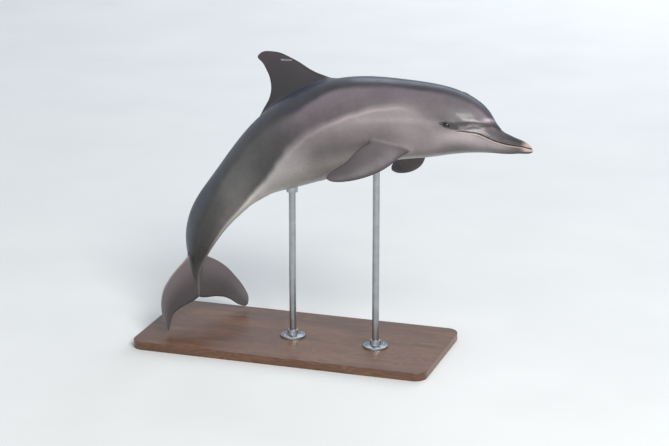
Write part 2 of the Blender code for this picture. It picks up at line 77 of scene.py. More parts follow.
# a natural cubic through (place, value) pairs: each span blends its end values and end bends
def smoothCurve(pairs):
    knots, values = np.array(pairs, float).T
    steps, count = np.diff(knots), len(knots)
    system, bends = np.eye(count), np.zeros(count)
    for i in range(1, count - 1):
        system[i, i - 1:i + 2] = steps[i - 1], 2 * (steps[i - 1] + steps[i]), steps[i]
    bends[1:-1] = 6 * np.diff(np.diff(values) / steps)
    bends = np.linalg.solve(system, bends)

    def curve(place):
        place = np.asarray(place, float)
        i = np.clip(np.searchsorted(knots, place) - 1, 0, count - 2)
        before, after = (knots[i + 1] - place) / steps[i], (place - knots[i]) / steps[i]
        bend = (before**3 - before) * bends[i] + (after**3 - after) * bends[i + 1]
        return before * values[i] + after * values[i + 1] + bend * steps[i]**2 / 6

    return curve


# 0 below low, 1 above high, and an even S between them
def ease(value, low, high):
    share = np.clip((value - low) / (high - low), 0, 1)
    return share * share * (3 - 2 * share)


# up an S from start to full, level as far as last, and down an S to end
def window(value, start, full, last, end):
    return ease(value, start, full) * (1 - ease(value, last, end))


# 1 at the middle, falling off as a bell of that half width
def bell(value, halfWidth):
    return np.exp(-(value / halfWidth)**2)


# each vector divided by its own length
def unit(vectors, least=1e-12):
    return vectors / np.maximum(np.linalg.norm(vectors, axis=-1, keepdims=True), least)


# the axis is summed back from the snout: forward = level heading tilted by the pitch; right is the
# level side turned by the roll; up completes the three
def bentAxis():
    station = np.linspace(0, 1, body["axisSteps"] + 1)
    pitch, heading, roll = (np.radians(smoothCurve(body[name])(station))[:, None]
                            for name in ("pitch", "heading", "roll"))
    ahead = np.hstack([np.cos(heading), np.sin(heading), 0 * heading])
    level = np.hstack([np.sin(heading), -np.cos(heading), 0 * heading])
    forward = ahead * np.cos(pitch) + np.array([0, 0, 1]) * np.sin(pitch)
    right = level * np.cos(roll) + np.cross(level, forward) * np.sin(roll)
    steps = -(forward[1:] + forward[:-1]) / 2 * body["length"] / body["axisSteps"]
    place = np.array(body["snout"]) + np.vstack([np.zeros(3), np.cumsum(steps, axis=0)])
    return station, np.hstack([place, forward, right, np.cross(right, forward)])


axisStation, axisFrames = bentAxis()
profile = [smoothCurve([(row[0], row[i]) for row in body["sections"]]) for i in range(1, 6)]


# place, forward, right and up of the axis at each station
def axisAt(station):
    found = np.stack([np.interp(station, axisStation, column) for column in axisFrames.T], -1)
    return np.split(found, 4, -1)


# half width, half height and how far the middle of the section sits above the axis, in metres
def sectionSize(station):
    width, above, below, fullAbove, fullBelow = [curve(station) for curve in profile]
    start, end, share = body["tailSinks"]
    sink = 1 - (1 - share) * ease(station, start, end)
    height, lift = (above + below) / 2000, (above - below) / 2000
    return width / 1000 * sink, height * sink, lift * sink, fullAbove, fullBelow


# offsets of the section: up = cos(a) (height + lift cos(a)), right = width sin(a) (1 + fullness cos(a)^2),
# both shrunk by a quarter circle over the snout
def sectionPoint(station, angle):
    width, height, lift, fullAbove, fullBelow = sectionSize(station)
    turn = np.radians(angle)
    fullness = np.where(np.cos(turn) > 0, fullAbove, fullBelow)
    rounding = np.sqrt(np.clip(1 - (1 - np.minimum(station / body["snoutRounding"], 1))**2, 0, 1))
    up = np.cos(turn) * (height + lift * np.cos(turn))
    right = width * np.sin(turn) * (1 + fullness * np.cos(turn)**2)
    return right * rounding, up * rounding


# the plain body: axis place + right offset along right + up offset along up
def plainBody(station, angle):
    right, up = sectionPoint(station, angle)
    place, _, rightWay, upWay = axisAt(station)
    return place + rightWay * right[..., None] + upWay * up[..., None]


# outward way: the cross product of a small step round the section and a small step towards the snout
def outward(station, angle):
    nudge, turn = body["nudge"]
    station = np.maximum(station, 2 * nudge)
    ahead = plainBody(station - nudge, angle) - plainBody(station + nudge, angle)
    around = plainBody(station, angle + turn) - plainBody(station, angle - turn)
    normal = unit(np.cross(around, ahead))
    away = np.sum(normal * (plainBody(station, angle) - axisAt(station)[0]), -1, keepdims=True)
    return np.where(away < 0, -normal, normal)


# metres of skin for one degree of turn round the section
def perDegree(station, angle):
    width, height = sectionSize(station)[:2]
    turn = np.radians(angle)
    return np.pi / 180 * np.hypot(width * np.cos(turn), height * np.sin(turn))


# nearest of the other points to each point, and how far off it is, in blocks to save memory
def nearestOf(points, others, block=4000):
    index, gap = np.empty(len(points), int), np.empty(len(points))
    for start in range(0, len(points), block):
        some = points[start:start + block]
        squares = (some**2).sum(1)[:, None] - 2 * some @ others.T + (others**2).sum(1)
        index[start:start + block] = squares.argmin(1)
        gap[start:start + block] = np.sqrt(np.maximum(squares.min(1), 0))
    return index, gap


# where points lie on the body: station of the nearest section, angle in it, and how far outside its
# outline; the station is sharpened by the rest along the axis, the angle by closing on the right bearing
def bodyPlace(points):
    every, (stationRounds, angleRounds) = body["searchEvery"], body["searchRounds"]
    station = axisStation[::every][nearestOf(points, axisFrames[::every, :3])[0]]
    for _ in range(stationRounds):
        place, forward, _, _ = axisAt(station)
        station = np.clip(station - np.sum((points - place) * forward, 1) / body["length"], 0, 1)
    place, _, right, up = axisAt(station)
    toRight, toUp = np.sum((points - place) * right, 1), np.sum((points - place) * up, 1)
    bearing = np.arctan2(toRight, toUp)
    angle = np.degrees(bearing)
    for _ in range(angleRounds):
        miss = bearing - np.arctan2(*sectionPoint(np.maximum(station, body["searchLeast"]), angle))
        angle = angle + np.degrees((miss + np.pi) % (2 * np.pi) - np.pi) * body["searchPull"]
    angle = (angle + 180) % 360 - 180
    return station, angle, np.hypot(toRight, toUp) - np.hypot(*sectionPoint(station, angle))


# one mesh of closed sheets, each (points, arrays of faces); a sheet's faces are turned round if the
# volume that they shut in comes out negative
def meshFrom(name, *sheets):
    points, faces, start = [], [], 0
    for own, parts in sheets:
        fans = [part[:, [0, i, i + 1]] for part in parts for i in range(1, part.shape[1] - 1)]
        a, b, c = (own[corner] for corner in np.concatenate(fans).T)
        inward = np.sum(a * np.cross(b, c)) < 0
        faces += [(part[:, ::-1] if inward else part) + start for part in parts]
        points.append(own)
        start += len(own)
    mesh = bpy.data.meshes.new(name)
    mesh.vertices.add(start)
    sizes = np.concatenate([np.full(len(part), part.shape[1], np.int32) for part in faces])
    mesh.loops.add(int(sizes.sum()))
    mesh.loops.foreach_set("vertex_index", np.concatenate([part.ravel() for part in faces]).astype(np.int32))
    mesh.polygons.add(len(sizes))
    mesh.polygons.foreach_set("loop_start", (np.cumsum(sizes) - sizes).astype(np.int32))
    setPoints(mesh, np.vstack(points))
    mesh.update(calc_edges=True)
    mesh.validate()
    mesh.shade_smooth()
    return mesh


# a grid of points as a sheet for meshFrom, closed round its columns; a loop is closed round its rows
# too, and any other has a point at each end, the middle of its end row unless ends are given
def gridSheet(points, ends=None, loop=False):
    rows, columns = points.shape[:2]
    i, j = np.meshgrid(np.arange(rows if loop else rows - 1), np.arange(columns), indexing="ij")
    after, side = (i + 1) % rows, (j + 1) % columns
    quads = np.stack([i * columns + j, after * columns + j, after * columns + side, i * columns + side], -1)
    points, quads = points.reshape(-1, 3), quads.reshape(-1, 4)
    if loop:
        return points, [quads]
    if ends is None:
        ends = points[:columns].mean(0), points[-columns:].mean(0)
    j = np.arange(columns)
    side, first, end = (j + 1) % columns, np.full(columns, rows * columns), (rows - 1) * columns
    front, back = np.stack([first, j, side], -1), np.stack([end + j, first + 1, end + side], -1)
    return np.vstack([points, ends]), [quads, front, back]


# an object of the mesh, light or camera, in the scene
def placeObject(name, mesh, *materials):
    piece = bpy.data.objects.new(name, mesh)
    bpy.context.scene.collection.objects.link(piece)
    for made in materials:
        mesh.materials.append(made)
    return piece


# swaps a piece's mesh for its evaluated copy, so that its modifiers are applied, and takes them off
def applyModifiers(piece):
    old = piece.data
    done = bpy.data.meshes.new_from_object(piece.evaluated_get(bpy.context.evaluated_depsgraph_get()))
    piece.modifiers.clear()
    piece.data = done
    bpy.data.meshes.remove(old)


# values of every element of a mesh's part, such as its edges, in one array
def valuesOf(part, name, wide=1, kind=np.int32):
    found = np.empty(len(part) * wide, kind)
    part.foreach_get(name, found)
    return found.reshape(-1, wide) if wide > 1 else found


# a mesh's points as an array, and an array written back as its points
def pointsOf(mesh):
    return valuesOf(mesh.vertices, "co", 3, np.float32).astype(float)


def setPoints(mesh, points):
    mesh.vertices.foreach_set("co", np.ascontiguousarray(points, np.float32).ravel())


# one value for each point, for the materials to read
def giveAttribute(mesh, name, values):
    mesh.attributes.new(name, "FLOAT", "POINT").data.foreach_set("value", np.asarray(values, np.float32))


head = {
    "mouthLine": (
        (0, 62), (.024, 70), (.045, 79), (.066, 82), (.087, 81.5), (.107, 81), (.13, 86), (.155, 92)),
    "mouthLevelAt": .010, "leastLean": .85, "levelWithin": (12, 30), "levelBehind": (.010, .03),
    "creaseLine": (
        (0, .0722), (4, .073), (20, .08), (39, .094), (57, .11), (66, .124), (75, .14), (84, .156)),
    "creaseSide": 90, "lineStep": .002, "angleStep": .5,
    "stripe": (
        (.086, 24), (.090, 30), (.101, 48), (.118, 63), (.134, 70), (.148, 76), (.160, 81), (.175, 85)),
    "cheek": ((.106, 58), (.112, 63), (.128, 71), (.140, 82), (.152, 92), (.160, 96)),
}
eye = {
    "station": .175, "angle": 86.0, "radius": .018, "bulge": .0045,      # as the eyes in the frame
    "halfLength": .0145, "rises": (.0070, .0058), "slant": -3.0,         # the opening between the lids
    "lid": .0013, "rim": (.0006, .0012, .0010), "pocket": .0035, "wall": (-.0008, .0003),
    "orbit": (.0024, .036),                            # rise and half width round the eye
    "brow": (.0012, .0175, 6, .0062, .030),            # rise, place, arch, half width and length
    "skinRadius": .125, "blend": .0016, "reach": .030, "near": .045, "foldReach": .021,
    "folds": (          # depth, distance from the opening, half width, over or under it, fading in from, to
        (.0011, .0062, .0013, 1, -.002, .003), (.0008, .0115, .0016, 1, 0, .006),
        (.0008, .0055, .0012, -1, -.001, .003), (.0005, .0098, .0015, -1, 0, .005)),
}
folds = {
    "spots": {"corner": .155, "ear": .208, "blowhole": .165, "navel": .492, "vent": .721},       # stations
    "earAngle": 93, "ventRound": 1.4, "corner": (.004, .011), "navelHalf": .014,
    "blowhole": {"half": .022, "bend": .012, "widest": 1.6, "fade": (.72, 1.12)},
    "melonSide": (66, 86), "creaseShallow": (.45, 60),
    "runs": {           # stations where a fold starts, is full, is still full and ends
        "mouth": (-1, 0, .137, .156), "lips": (.004, .02, .137, .156), "melon": (-1, 0, .15, .17),
        "stripe": (.088, .104, .150, .162), "cheek": (.106, .122, .150, .164), "keel": (.63, .70, .93, .965),
        "slit": (.651, .661, .692, .702), "teats": (.661, .668, .680, .687)},
    "rows": (           # distance it follows, its run, place, half width and rise in metres
        ("mouth", "mouth", 0, .0015, -.0034), ("mouth", "lips", .0052, .0036, .0010),
        ("mouth", "lips", -.0050, .0040, .0015), ("mouth", "corner", 0, .0018, -.0014),
        ("mouth", "corner", .0075, .0018, -.0008), ("mouth", "corner", -.0065, .0018, -.0007),
        ("crease", "crease", 0, .0036, -.0024), ("crease", "melon", .016, .012, .0016),
        ("crease", "melon", -.014, .012, -.0012), ("stripe", "stripe", 0, .0042, -.0011),
        ("cheek", "cheek", 0, .0055, .0016), ("ear", "all", 0, .0018, -.0016),
        ("blowhole", "blowhole", 0, .0016, -.0062), ("blowhole", "blowhole", .006, .0042, .0018),
        ("blowhole", "blowhole", -.006, .0050, .0018), ("blowhole", "blowhole", -.017, .006, -.0012),
        ("belly", "navel", 0, .0045, -.0026), ("navel", "all", .016, .007, .0012),
        ("belly", "slit", .007, .0050, .0024), ("belly", "slit", 0, .0026, -.0042),
        ("vent", "all", 0, .0085, -.0035), ("belly", "teats", .024, .0026, -.0022),
        ("back", "keel", 0, .010, .0016), ("belly", "keel", 0, .010, .0016)),
    "flesh": .0007, "fleshRun": (.16, .26, .80, .93),
    "fleshWaves": ((1, 19, 2.1, .6, 2, 7, 0), (.6, 41, 0, -1.7, 3, -11, 1.1)),
}


# height over the mouth line: above its section's own height there, or over one level round the tip;
# far from the line it turns into the way round the section
def mouthDistance(station, angle):
    curve = smoothCurve(head["mouthLine"])
    line, levelAt = curve(station), np.array([head["mouthLevelAt"]])
    tipLevel, level = sectionPoint(levelAt, curve(levelAt))[1], sectionPoint(station, line)[1]
    level = np.where(station < levelAt, tipLevel, level)
    lean = np.maximum(np.abs(np.sin(np.radians(line))), head["leastLean"])
    above = (sectionPoint(station, angle)[1] - level) / lean
    away = (line - angle) * perDegree(station, line)
    far = ease(np.abs(angle - line), *head["levelWithin"]) * ease(station, *head["levelBehind"])
    return above * (1 - far) + away * far


# distance behind the crease line: the run along the body, divided by the slant of the line
def creaseDistance(station, angle):
    line, step, length = smoothCurve(head["creaseLine"]), head["angleStep"], body["length"]
    slope = (line(angle + step) - line(angle - step)) / (2 * step) * length / perDegree(station, angle)
    return (station - line(np.minimum(angle, head["creaseSide"]))) * length / np.sqrt(1 + slope**2)


# distance over a line of (station, angle) pairs: the run round the body, divided by the slant of the line
def stripeDistance(station, angle, pairs):
    line, step = smoothCurve(pairs), head["lineStep"]
    held = np.clip(station, pairs[0][0], pairs[-1][0])
    degree = perDegree(station, angle)
    slope = (line(held + step) - line(held - step)) / (2 * step * body["length"]) * degree
    return (line(held) - angle) * degree / np.sqrt(1 + slope**2)


# the eye's own plane: forward and up in metres from its middle, turned by the slant of the lids
def eyePlane(station, angle):
    ahead = (eye["station"] - station) * body["length"]
    above = (eye["angle"] - angle) * perDegree(station, angle)
    slant = np.radians(eye["slant"])
    return ahead * np.cos(slant) + above * np.sin(slant), above * np.cos(slant) - ahead * np.sin(slant)


# distance outside the opening between the lids: the greater of the distances outside two arcs that
# meet at the corners of the eye, each of radius (half length^2 + rise^2) / (2 rise)
def lidDistance(ahead, above):
    found = []
    for rise, way in zip(eye["rises"], (1, -1)):
        radius = (eye["halfLength"]**2 + rise**2) / (2 * rise)
        found.append(np.hypot(ahead, way * above + radius - rise) - radius)
    return np.maximum(*found)


# lids: the skin rides over the eyeball by the lid's thickness, and inside the opening it drops to a
# pocket behind it; folds follow the opening at set distances
def eyeRelief(station, angle):
    ahead, above = eyePlane(station, angle)
    spread, gap = np.hypot(ahead, above), lidDistance(ahead, above)
    ball = np.sqrt(np.maximum(eye["radius"]**2 - spread**2, 0)) - eye["radius"] + eye["bulge"]
    ball = ball + above**2 / (2 * eye["skinRadius"])
    rise, half = eye["orbit"]
    swell = rise * bell(spread, half)
    rise, place, arch, half, length = eye["brow"]
    swell = swell + rise * bell(above - place + arch * ahead**2, half) * bell(ahead, length)
    rise, place, half = eye["rim"]
    over = ball + eye["lid"] + rise * bell(gap - place, half)
    outside = np.logaddexp(swell / eye["blend"], over / eye["blend"]) * eye["blend"]
    outside = np.where(spread < eye["reach"], outside, swell)
    for depth, place, half, way, low, high in eye["folds"]:
        fold = depth * bell(gap - place, half) * ease(way * above, low, high)
        outside = outside - fold * bell(ahead, eye["foldReach"])
    wall = ease(gap, *eye["wall"])
    return outside * wall + (ball - eye["pocket"]) * (1 - wall)


# metres outwards: the sum of each fold's rise x a bell of its distance x its run, and the eye's own
def relief(station, angle):
    side, blow = np.abs(angle), folds["blowhole"]
    behind = {name: (station - spot) * body["length"] for name, spot in folds["spots"].items()}
    back, belly = side * perDegree(station, 0 * side), (180 - side) * perDegree(station, 180 + 0 * side)
    reach = np.clip(back / blow["half"], 0, blow["widest"])
    distance = {
        "mouth": mouthDistance(station, side), "crease": creaseDistance(station, side),
        "stripe": stripeDistance(station, side, head["stripe"]), "back": back, "belly": belly,
        "cheek": stripeDistance(station, side, head["cheek"]),
        "ear": np.hypot(behind["ear"], (side - folds["earAngle"]) * perDegree(station, side)),
        "blowhole": -behind["blowhole"] - blow["bend"] * reach**2,
        "navel": np.hypot(behind["navel"], belly),
        "vent": np.hypot(behind["vent"], belly * folds["ventRound"]),
    }
    place, half = folds["corner"]
    shallow, far = folds["creaseShallow"]
    runs = {name: window(station, *run) for name, run in folds["runs"].items()}
    runs["melon"] = runs["melon"] * (1 - ease(side, *folds["melonSide"]))
    runs.update({
        "all": 1, "corner": bell(behind["corner"] - place, half),
        "navel": bell(behind["navel"], folds["navelHalf"]),
        "crease": runs["melon"] * (1 - shallow * ease(side, 0, far)),
        "blowhole": 1 - ease(reach, *blow["fade"]),
    })
    total = sum(rise * bell(distance[follows] - place, half) * runs[run]
                for follows, run, place, half, rise in folds["rows"])
    return total + np.where(np.abs(station - eye["station"]) < eye["near"], eyeRelief(station, side), 0)


# soft unevenness: slow waves sin(a station + b cos(turn) + c) cos(d turn + e station + f)
def flesh(station, angle):
    turn = np.radians(angle)
    waves = sum(much * np.sin(a * station + b * np.cos(turn) + c) * np.cos(d * turn + e * station + f)
                for much, a, b, c, d, e, f in folds["fleshWaves"])
    return folds["flesh"] * waves * window(station, *folds["fleshRun"])


# body skin: plain body + (relief + flesh) along the outward way
def bodySkin(station, angle):
    rise = relief(station, angle) + flesh(station, angle)
    return plainBody(station, angle) + outward(station, angle) * rise[..., None]


# the body's sheet, laid out flat by station and angle, then bent round the axis
grid = {
    "around": 73, "base": 1.0,
    "dense": ((3.2, 81, 8.5), (1.6, 0, 5), (1.6, 180, 5)),      # gain, angle, half width of the finer cells
    "mouthAt": 81, "mouthReach": 34, "mouthRun": (.155, .30), "fineLines": 4001,
    "tipRings": 15, "least": 1e-7, "last": .997, "lastGap": .001,
    "headStep": .00095, "bodyStep": .0041, "stepRun": (.20, .25),
    "patches": (     # station from, to, angle from, to, cuts: finer cells round the eyes and the blowhole
        (.160, .190, 79, 94, 1), (.1655, .1845, 82, 90.5, 1), (.152, .172, -13, 13, 1)),
}


# unwarped angles close together along the mouth, the back and the belly: an even count of cells over
# the running total of their density
def angleLines():
    fine = np.linspace(0, 180, grid["fineLines"])
    density = grid["base"] + sum(gain * bell(fine - place, half) for gain, place, half in grid["dense"])
    total = np.concatenate([[0], np.cumsum((density[1:] + density[:-1]) / 2)])
    half = np.interp(np.linspace(0, total[-1], grid["around"]), total, fine)
    return np.concatenate([-half[:0:-1], half[:-1]])


# stations: a quarter circle's steps over the snout, then steps that widen behind the head
def ringStations():
    found = [*body["snoutRounding"] * (1 - np.cos(np.linspace(0, np.pi / 2, grid["tipRings"] + 1)[1:]))]
    while found[-1] < grid["last"] - grid["lastGap"]:
        share = float(ease(found[-1], *grid["stepRun"]))
        found.append(found[-1] + grid["headStep"] + (grid["bodyStep"] - grid["headStep"]) * share)
    return np.array(found[:-1] + [grid["last"]])


# angle = line + (mouth line - where it is at rest) x bell, so that one line of cells runs along the mouth
def warpAngle(station, line):
    start, end = grid["mouthRun"]
    mouth = smoothCurve(head["mouthLine"])(np.minimum(station, start))
    pull = (mouth - grid["mouthAt"]) * (1 - ease(station, start, end))
    return line + np.sign(line) * pull * bell(np.abs(line) - grid["mouthAt"], grid["mouthReach"])


# the flat sheet with its patches cut finer, each point then moved to the skin at its station and angle
def makeBodySheet():
    station, line = np.meshgrid(ringStations(), angleLines(), indexing="ij")
    flat = np.stack([station, warpAngle(station, line), 0 * station], -1)
    mesh = meshFrom("dolphinSkin", gridSheet(flat, [[0, 0, 0], [1, 0, 0]]))
    for first, last, low, high, cuts in grid["patches"]:
        x, y, _ = valuesOf(mesh.polygons, "center", 3, np.float32).T
        y = np.abs(y) if low > 0 else y      # an eye's patch is cut on both sides
        chosen = np.flatnonzero((first < x) & (x < last) & (low < y) & (y < high))
        work = bmesh.new()
        work.from_mesh(mesh)
        work.faces.ensure_lookup_table()
        edges = dict.fromkeys(edge for i in chosen for edge in work.faces[i].edges)      # each once, in order
        bmesh.ops.subdivide_edges(work, edges=list(edges), cuts=cuts, use_grid_fill=True)
        work.to_mesh(mesh)
        work.free()
    station, angle, _ = pointsOf(mesh).T
    bent = bodySkin(np.clip(station, grid["least"], 1), angle)
    bent[np.argmin(station)] = body["snout"]
    setPoints(mesh, bent)
    mesh.update()
    return mesh


# streamlined blades between two edge curves; outlines in mm as (out from the root, forward of it);
# thickness as a share of the chord; flare is (reach, swell) of the root
fins = {
    "edge": .0012, "edgeChord": .030, "spans": 46, "chords": 30, "lastShare": .997,
    "ripple": .0009, "rippleRun": (.25, .4, .86, .96), "waves": ((17, .2), (41, .7), (89, .4)),
    "nose": ((.5, 1.4845), (1, -.63), (2, -1.758), (3, 1.4215), (4, -.518)),      # power, amount
    "flareTilt": .35, "firstTurn": .00001,
    "dorsal": {
        "foot": (.455, .62), "thickness": .13, "flare": (.07, .010),
        "leading": (
            (-90, 140), (-5, 79), (67, 29), (119, 3), (168, -27), (213, -59), (246, -98), (265, -136),
            (264, -160)),
        "trailing": (
            (-60, -350), (12, -318), (35, -288), (64, -225), (113, -181), (139, -170), (192, -160),
            (238, -165), (256, -168), (264, -160))},
    "flipper": {
        "right": (.280, 131, 31, 21, 40), "left": (.262, 134, 50, 17, 29),     # station, angle and turns
        "thickness": .14, "flare": (.05, .008),
        "leading": (
            (-130, 38), (-80, 40), (-12, 57), (59, 80), (140, 90), (220, 85), (298, 65), (327, 48),
            (338, 32)),
        "trailing": (
            (-60, -88), (20, -75), (96, -50), (126, -47), (159, -38), (221, -8), (284, 8), (322, 20),
            (338, 32))},
    "fluke": {
        "thickness": .075, "flare": (.03, .003), "middle": .0005,
        "tipSweep": 25, "tipDroop": (.060, .150, .146),
        "leading": (
            (0, 213), (25, 191), (75, 156), (120, 131), (164, 101), (205, 64), (235, 22), (257, -20),
            (269, -60), (271, -92), (262, -122)),
        "trailing": (
            (0, -30), (14, -38), (40, -46), (80, -52), (120, -59), (158, -72), (190, -92), (213, -113),
            (232, -128), (249, -133), (262, -122))},
}


# a smooth curve through outline points, by its share of the way along them
def edgeCurve(points):
    points = np.array(points, float) / 1000
    reach = np.concatenate([[0], np.cumsum(np.linalg.norm(np.diff(points, axis=0), axis=1))])
    parts = [smoothCurve(list(zip(reach / reach[-1], points[:, i]))) for i in range(2)]
    return lambda share: np.stack([part(share) for part in parts], -1)


# flat place = leading edge + chord share x (trailing - leading); half thickness = thickness x chord x
# a rounded nose that thins to the rear, with a thin round edge added; share may be negative for the
# mirrored half of the flukes
def bladePoints(style, share, turn):
    size, half = np.abs(share), np.where(share < 0, -1, 1)
    start, end = edgeCurve(style["leading"])(size), edgeCurve(style["trailing"])(size)
    slowest = fins["waves"][0][0]
    ripple = sum(np.sin(rate * size + rate * shift) * (slowest / rate) for rate, shift in fins["waves"])
    end[..., 1] += fins["ripple"] * ripple * window(size, *fins["rippleRun"])
    start[..., 0] *= half
    end[..., 0] *= half
    chord = np.linalg.norm(end - start, axis=-1)
    across = (1 - np.cos(turn)) / 2
    nose = sum(amount * across**power for power, amount in fins["nose"])
    edge = fins["edge"] * np.minimum(1, chord / fins["edgeChord"]) * np.abs(np.sin(turn))
    flat = start + (end - start) * across[..., None]
    return flat, np.sign(np.sin(turn)) * (nose * style["thickness"] * chord + edge)


# blade in space = origin + span + chord + height, its root swelling by (1 - distance outside / reach)^3;
# also gives its points and, for each, its share of the chord and of the span
def makeFin(name, style, origin, spanWay, chordWay, shares, droop=None):
    normalWay = np.cross(spanWay, chordWay)
    turn = np.linspace(0, 2 * np.pi, 2 * fins["chords"], endpoint=False) + fins["firstTurn"]
    share, turns = np.meshgrid(shares, turn, indexing="ij")
    flat, high = bladePoints(style, share, turns)
    if droop:
        high = high + droop(flat)
    points = origin + flat[..., :1] * spanWay + flat[..., 1:] * chordWay + high[..., None] * normalWay
    reach, swell = style["flare"]
    outside = bodyPlace(points.reshape(-1, 3))[2].reshape(share.shape)
    grow = swell * np.clip(1 - np.maximum(outside, 0) / reach, 0, 1)**3
    way = unit(chordWay * np.cos(turns)[..., None] * fins["flareTilt"] + normalWay * np.sin(turns)[..., None])
    points = points + way * grow[..., None]
    marks = np.stack([(1 - np.cos(turns)) / 2, np.abs(share)], -1)
    return placeObject(name, meshFrom(name, gridSheet(points))), points.reshape(-1, 3), marks.reshape(-1, 2)


# shares of the span as a quarter sine, close together at the tip
def finShares():
    shares = np.sin(np.linspace(0, np.pi / 2, fins["spans"]))
    shares[-1] = fins["lastShare"]
    return shares


# its foot runs straight between two stations of the back, square to the body's right
def makeDorsalFin():
    style = fins["dorsal"]
    front, rear = plainBody(np.array(style["foot"]), np.zeros(2))
    right = axisAt(np.array([sum(style["foot"]) / 2]))[2][0]
    backWay = unit(rear - front)
    across = unit(right - right.dot(backWay) * backWay)
    return makeFin("finDorsal", style, front, unit(np.cross(backWay, across)), -backWay, finShares())


# span = the side, swept back by the spread and dropped by the droop; chord = forward, square to the
# span and turned under by the twist
def makeFlipper(side):
    style = fins["flipper"]
    station, angle, *turns = style[side]
    spread, droop, twist = np.radians(turns)
    mirror = 1 if side == "right" else -1
    _, forward, right, up = (part[0] for part in axisAt(np.array([station])))
    level = right * mirror * np.sin(spread) - forward * np.cos(spread)
    spanWay = level * np.cos(droop) - up * np.sin(droop)
    frontWay = unit(forward - spanWay * forward.dot(spanWay))
    under = np.cross(frontWay, spanWay) * mirror
    chordWay = frontWay * np.cos(twist) + under * np.sin(twist)
    root = plainBody(np.array([station]), np.array([angle * mirror]))[0]
    return makeFin("fin" + side.title(), style, root, spanWay, chordWay, finShares())


# both halves in one blade, their tips dropping by depth x (way out / run)^2 past the start
def makeFlukes():
    style = fins["fluke"]
    place, forward, right, _ = (part[0] for part in axisAt(np.array([1.0])))
    depth, start, run = style["tipDroop"]
    sweep = np.radians(style["tipSweep"])

    def droop(flat):
        along = np.abs(flat[..., 0]) * np.cos(sweep) - flat[..., 1] * np.sin(sweep)
        return -depth * np.clip((along - start) / run, 0, None)**2

    half = finShares()
    half[0] = style["middle"]
    return makeFin("finFlukes", style, place, right, forward, np.concatenate([-half[::-1], half]), droop)


joining = {"reach": .045, "rounds": 26, "pull": .55, "fade": 1.5}


# rounds off the creases where body and fins meet: each point near a seam moves towards the mean of its
# neighbours, by a pull that fades with the distance from the seam
def roundSeams(mesh):
    points, edges = pointsOf(mesh), valuesOf(mesh.edges, "vertices", 2)
    kinds = valuesOf(mesh.polygons, "material_index")
    loopEdges = valuesOf(mesh.loops, "edge_index")
    loopKinds = np.repeat(kinds, valuesOf(mesh.polygons, "loop_total"))
    lowKind, highKind = np.ones(len(edges), int), np.zeros(len(edges), int)      # the kinds are 0 and 1
    np.minimum.at(lowKind, loopEdges, loopKinds)
    np.maximum.at(highKind, loopEdges, loopKinds)
    seam = np.unique(edges[lowKind != highKind])
    gap = nearestOf(points, points[seam])[1]
    pull = joining["pull"] * np.clip(1 - gap / joining["reach"], 0, 1)**joining["fade"]
    count = np.bincount(edges.ravel(), minlength=len(points))
    for _ in range(joining["rounds"]):
        total = np.stack([sum(np.bincount(edges[:, end], column[edges[:, 1 - end]], len(points))
                              for end in (0, 1)) for column in points.T], -1)
        points += (total / count[:, None] - points) * pull[:, None]
    setPoints(mesh, points)
    mesh.update()
    print("seam points", len(seam))


# the body's sheet joined with the fins; a material for each kind of sheet marks the seams while they
# are rounded; also gives the fins' points and marks
def makeSkin():
    kinds = [bpy.data.materials.new(name) for name in ("bodyKind", "finKind")]
    skin = placeObject("dolphinSkin", makeBodySheet(), *kinds)
    print("body sheet", len(skin.data.polygons), "faces")
    parts, sheets, marks = zip(makeDorsalFin(), makeFlipper("right"), makeFlipper("left"), makeFlukes())
    for part in parts:
        for kind in kinds:
            part.data.materials.append(kind)
        part.data.polygons.foreach_set("material_index", np.ones(len(part.data.polygons), np.int32))
        join = skin.modifiers.new("join", "BOOLEAN")
        join.operation, join.object = "UNION", part
        join.solver = "MANIFOLD"
    applyModifiers(skin)
    mesh = skin.data
    for part in parts:
        bpy.data.objects.remove(part, do_unlink=True)
    roundSeams(mesh)
    setPoints(mesh, np.clip(pointsOf(mesh), cadLow, cadHigh))      # held inside the frame's box
    mesh.polygons.foreach_set("material_index", np.zeros(len(mesh.polygons), np.int32))
    mesh.materials.clear()
    for kind in kinds:
        bpy.data.materials.remove(kind)
    mesh.update()
    mesh.shade_smooth()
    print("skin", len(mesh.vertices), "points")
    return skin, np.vstack(sheets), np.vstack(marks)


